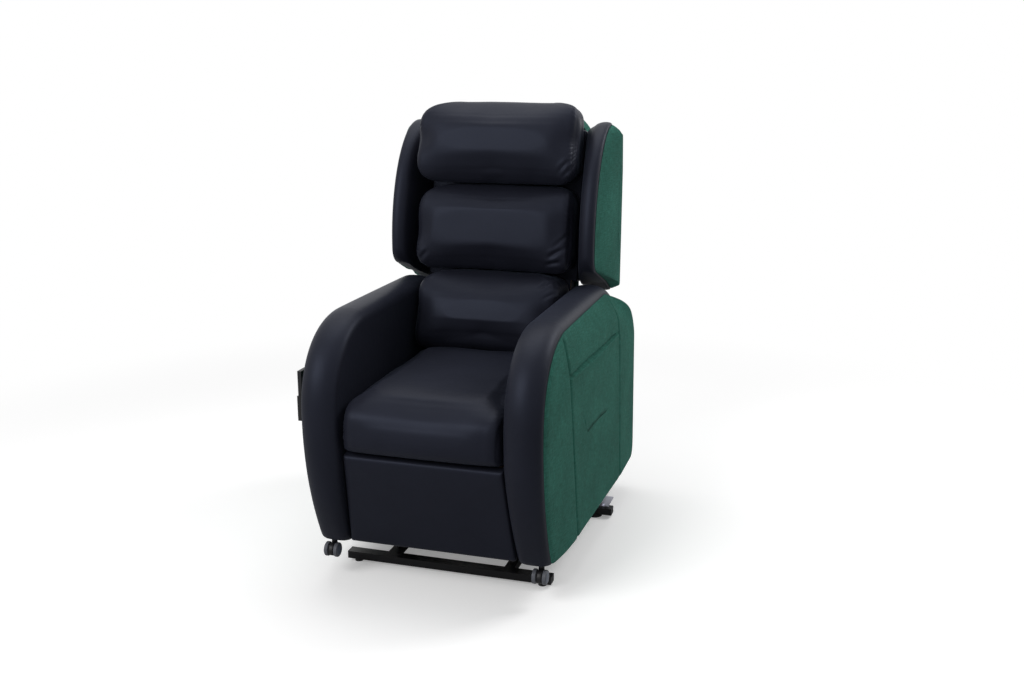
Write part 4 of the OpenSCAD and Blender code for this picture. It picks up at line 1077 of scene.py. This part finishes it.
def studio():
    """A dim world that is white where it is seen, mirrored or looked through."""
    look = Look("studio", world=True)
    seen = look.node("LightPath", out="Is Camera Ray")
    seen = seen.most(seen.twin("Is Glossy Ray")).most(seen.twin("Is Transmission Ray"))
    dim = look.node("Background", {"Color": WHITE, "Strength": 0.26})
    bright = look.node("Background", {"Color": WHITE, "Strength": 1.0})
    bpy.context.scene.world = look.close(look.node("MixShader", {0: seen, 1: dim, 2: bright}), "World")


# ---------------- operators

class RECLINER_OT_stage(bpy.types.Operator):
    """Sets up the floor, the light and the camera"""

    bl_idname = "recliner.stage"
    bl_label = "Set Stage"
    bl_options = {"REGISTER", "UNDO"}

    def execute(self, context):
        floor()
        studio()
        for settings in LAMPS:
            lamp(*settings)
        camera()
        context.scene.view_settings.view_transform = "Standard"
        return {"FINISHED"}


class RECLINER_OT_hardware(bpy.types.Operator):
    """Gives every rigid part of the frame its finish"""

    bl_idname = "recliner.hardware"
    bl_label = "Finish Hardware"
    bl_options = {"REGISTER", "UNDO"}

    def execute(self, context):
        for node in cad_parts.values():
            for slot in node.material_slots:
                slot.material = finish_of(slot.material.name.split(".")[0])
        return {"FINISHED"}


class RECLINER_OT_seat(bpy.types.Operator):
    """Stuffs the seat cushion"""

    bl_idname = "recliner.seat"
    bl_label = "Add Seat Cushion"
    bl_options = {"REGISTER", "UNDO"}

    def execute(self, context):
        cushion("seat_cushion_cover", "chassis", "seat_cushion", SEAT_FRAME, SEAT)
        return {"FINISHED"}


class RECLINER_OT_pillows(bpy.types.Operator):
    """Stuffs the three back pillows"""

    bl_idname = "recliner.pillows"
    bl_label = "Add Back Pillows"
    bl_options = {"REGISTER", "UNDO"}

    def execute(self, context):
        for name, spec in PILLOWS.items():
            cushion(name + "_pillow_cover", "back", name + "_pillow", BACK_FRAME, spec)
        return {"FINISHED"}


class RECLINER_OT_arms(bpy.types.Operator):
    """Upholsters both arms and their outer panels"""

    bl_idname = "recliner.arms"
    bl_label = "Add Arms"
    bl_options = {"REGISTER", "UNDO"}

    def execute(self, context):
        for name, side in SIDES:
            publish(arm_band(side), name + "_arm_cover", "chassis", "black_vinyl",
                    replaces=(name + "_arm_pad",), levels=2, fill=0.9)
            publish(arm_panel(side), name + "_arm_panel", "chassis", "green_fabric",
                    replaces=(name + "_arm_side",), levels=2, fill=0.95)
            publish(pocket_hem(side), name + "_pocket_hem", "chassis", "green_fabric", levels=1)
        return {"FINISHED"}


class RECLINER_OT_wings(bpy.types.Operator):
    """Upholsters both wings and their outer panels"""

    bl_idname = "recliner.wings"
    bl_label = "Add Wings"
    bl_options = {"REGISTER", "UNDO"}

    def execute(self, context):
        for name, side in SIDES:
            band = wing_part(side, WING_BAND, (0.8, 0.3))
            publish(band, name + "_wing_cover", "back", "black_vinyl",
                    replaces=(name + "_wing",), levels=2, fill=0.9)
            panel = wing_part(side, WING_PANEL, (0.92, 0.78, 0.6, 0.4, 0.2))
            publish(panel, name + "_wing_panel", "back", "green_fabric",
                    replaces=(name + "_wing_side",), levels=2, fill=0.95)
        return {"FINISHED"}


class RECLINER_OT_lining(bpy.types.Operator):
    """Wraps the board behind the pillows"""

    bl_idname = "recliner.lining"
    bl_label = "Add Back Lining"
    bl_options = {"REGISTER", "UNDO"}

    def execute(self, context):
        for name, *sizes in LININGS:
            walled(publish(lining(*sizes), name + "_back_lining", "back", "black_vinyl"), 0.5)
        return {"FINISHED"}


class RECLINER_OT_shell(bpy.types.Operator):
    """Covers the rear of the back and the gap between the arms"""

    bl_idname = "recliner.shell"
    bl_label = "Add Rear Covers"
    bl_options = {"REGISTER", "UNDO"}

    def execute(self, context):
        walled(publish(shell(), "back_shell_cover", "back", "green_fabric", "green_back",
                       replaces=("back_shell",), fill=0.95), 5)
        pad = panel_pad(208, 342, ((0.4, 6), (1, 2), (4, 0.3), (8, 0.6), (10.6, 3), (11.6, 8)), 0.4, 6)
        publish(placed(pad, REAR_COVER_FRAME), "rear_cover_panel", "chassis", "green_fabric", "green_back",
                replaces=("rear_cover",), levels=1, fill=0.95)
        return {"FINISHED"}


class RECLINER_OT_footrest(bpy.types.Operator):
    """Upholsters the footrest"""

    bl_idname = "recliner.footrest"
    bl_label = "Add Footrest"
    bl_options = {"REGISTER", "UNDO"}

    def execute(self, context):
        layers = ((33, 6), (31.5, 2), (26, 0), (14, 0), (8, 1), (4, 3.4), (1.6, 7), (0.4, 12))
        pad = panel_pad(206, 261, layers, -2.6, 4, half_high=220)
        publish(placed(pad, FOOT_FRAME), "footrest_cover", "footrest", "black_vinyl",
                replaces=("footrest_pad",), levels=2, fill=0.9)
        return {"FINISHED"}


class RECLINER_OT_castors(bpy.types.Operator):
    """Turns the castors' twin wheels with their hub discs"""

    bl_idname = "recliner.castors"
    bl_label = "Add Castors"
    bl_options = {"REGISTER", "UNDO"}

    def execute(self, context):
        for end, y in (("front", -CASTOR_Y), ("rear", CASTOR_Y)):
            for name, side in SIDES:
                castor(f"{end}_{name}_castor", side * CASTOR_X, y - CASTOR_TRAIL)
        return {"FINISHED"}


class RECLINER_PT_panel(bpy.types.Panel):
    bl_label = "Lift Recliner Chair"
    bl_idname = "RECLINER_PT_panel"
    bl_space_type = "VIEW_3D"
    bl_region_type = "UI"
    bl_category = "Recliner"

    def draw(self, context):
        for group in (context.scene.recliner_sizes, context.scene.recliner_colours):
            column = self.layout.column()
            for key in group.__annotations__:
                column.prop(group, key)
        for operator in OPERATORS:
            self.layout.operator(operator.bl_idname)


OPERATORS = (
    RECLINER_OT_stage, RECLINER_OT_hardware, RECLINER_OT_seat, RECLINER_OT_pillows, RECLINER_OT_arms,
    RECLINER_OT_wings, RECLINER_OT_lining, RECLINER_OT_shell, RECLINER_OT_footrest, RECLINER_OT_castors)
CLASSES = (RECLINER_PG_sizes, RECLINER_PG_colours, *OPERATORS, RECLINER_PT_panel)


def register():
    for cls in CLASSES:
        bpy.utils.register_class(cls)
    bpy.types.Scene.recliner_sizes = bpy.props.PointerProperty(type=RECLINER_PG_sizes)
    bpy.types.Scene.recliner_colours = bpy.props.PointerProperty(type=RECLINER_PG_colours)


def unregister():
    del bpy.types.Scene.recliner_colours
    del bpy.types.Scene.recliner_sizes
    for cls in reversed(CLASSES):
        bpy.utils.unregister_class(cls)


def main():
    register()
    for operator in OPERATORS:
        group, name = operator.bl_idname.split(".")
        getattr(getattr(bpy.ops, group), name)()


if __name__ == "__main__":
    main()
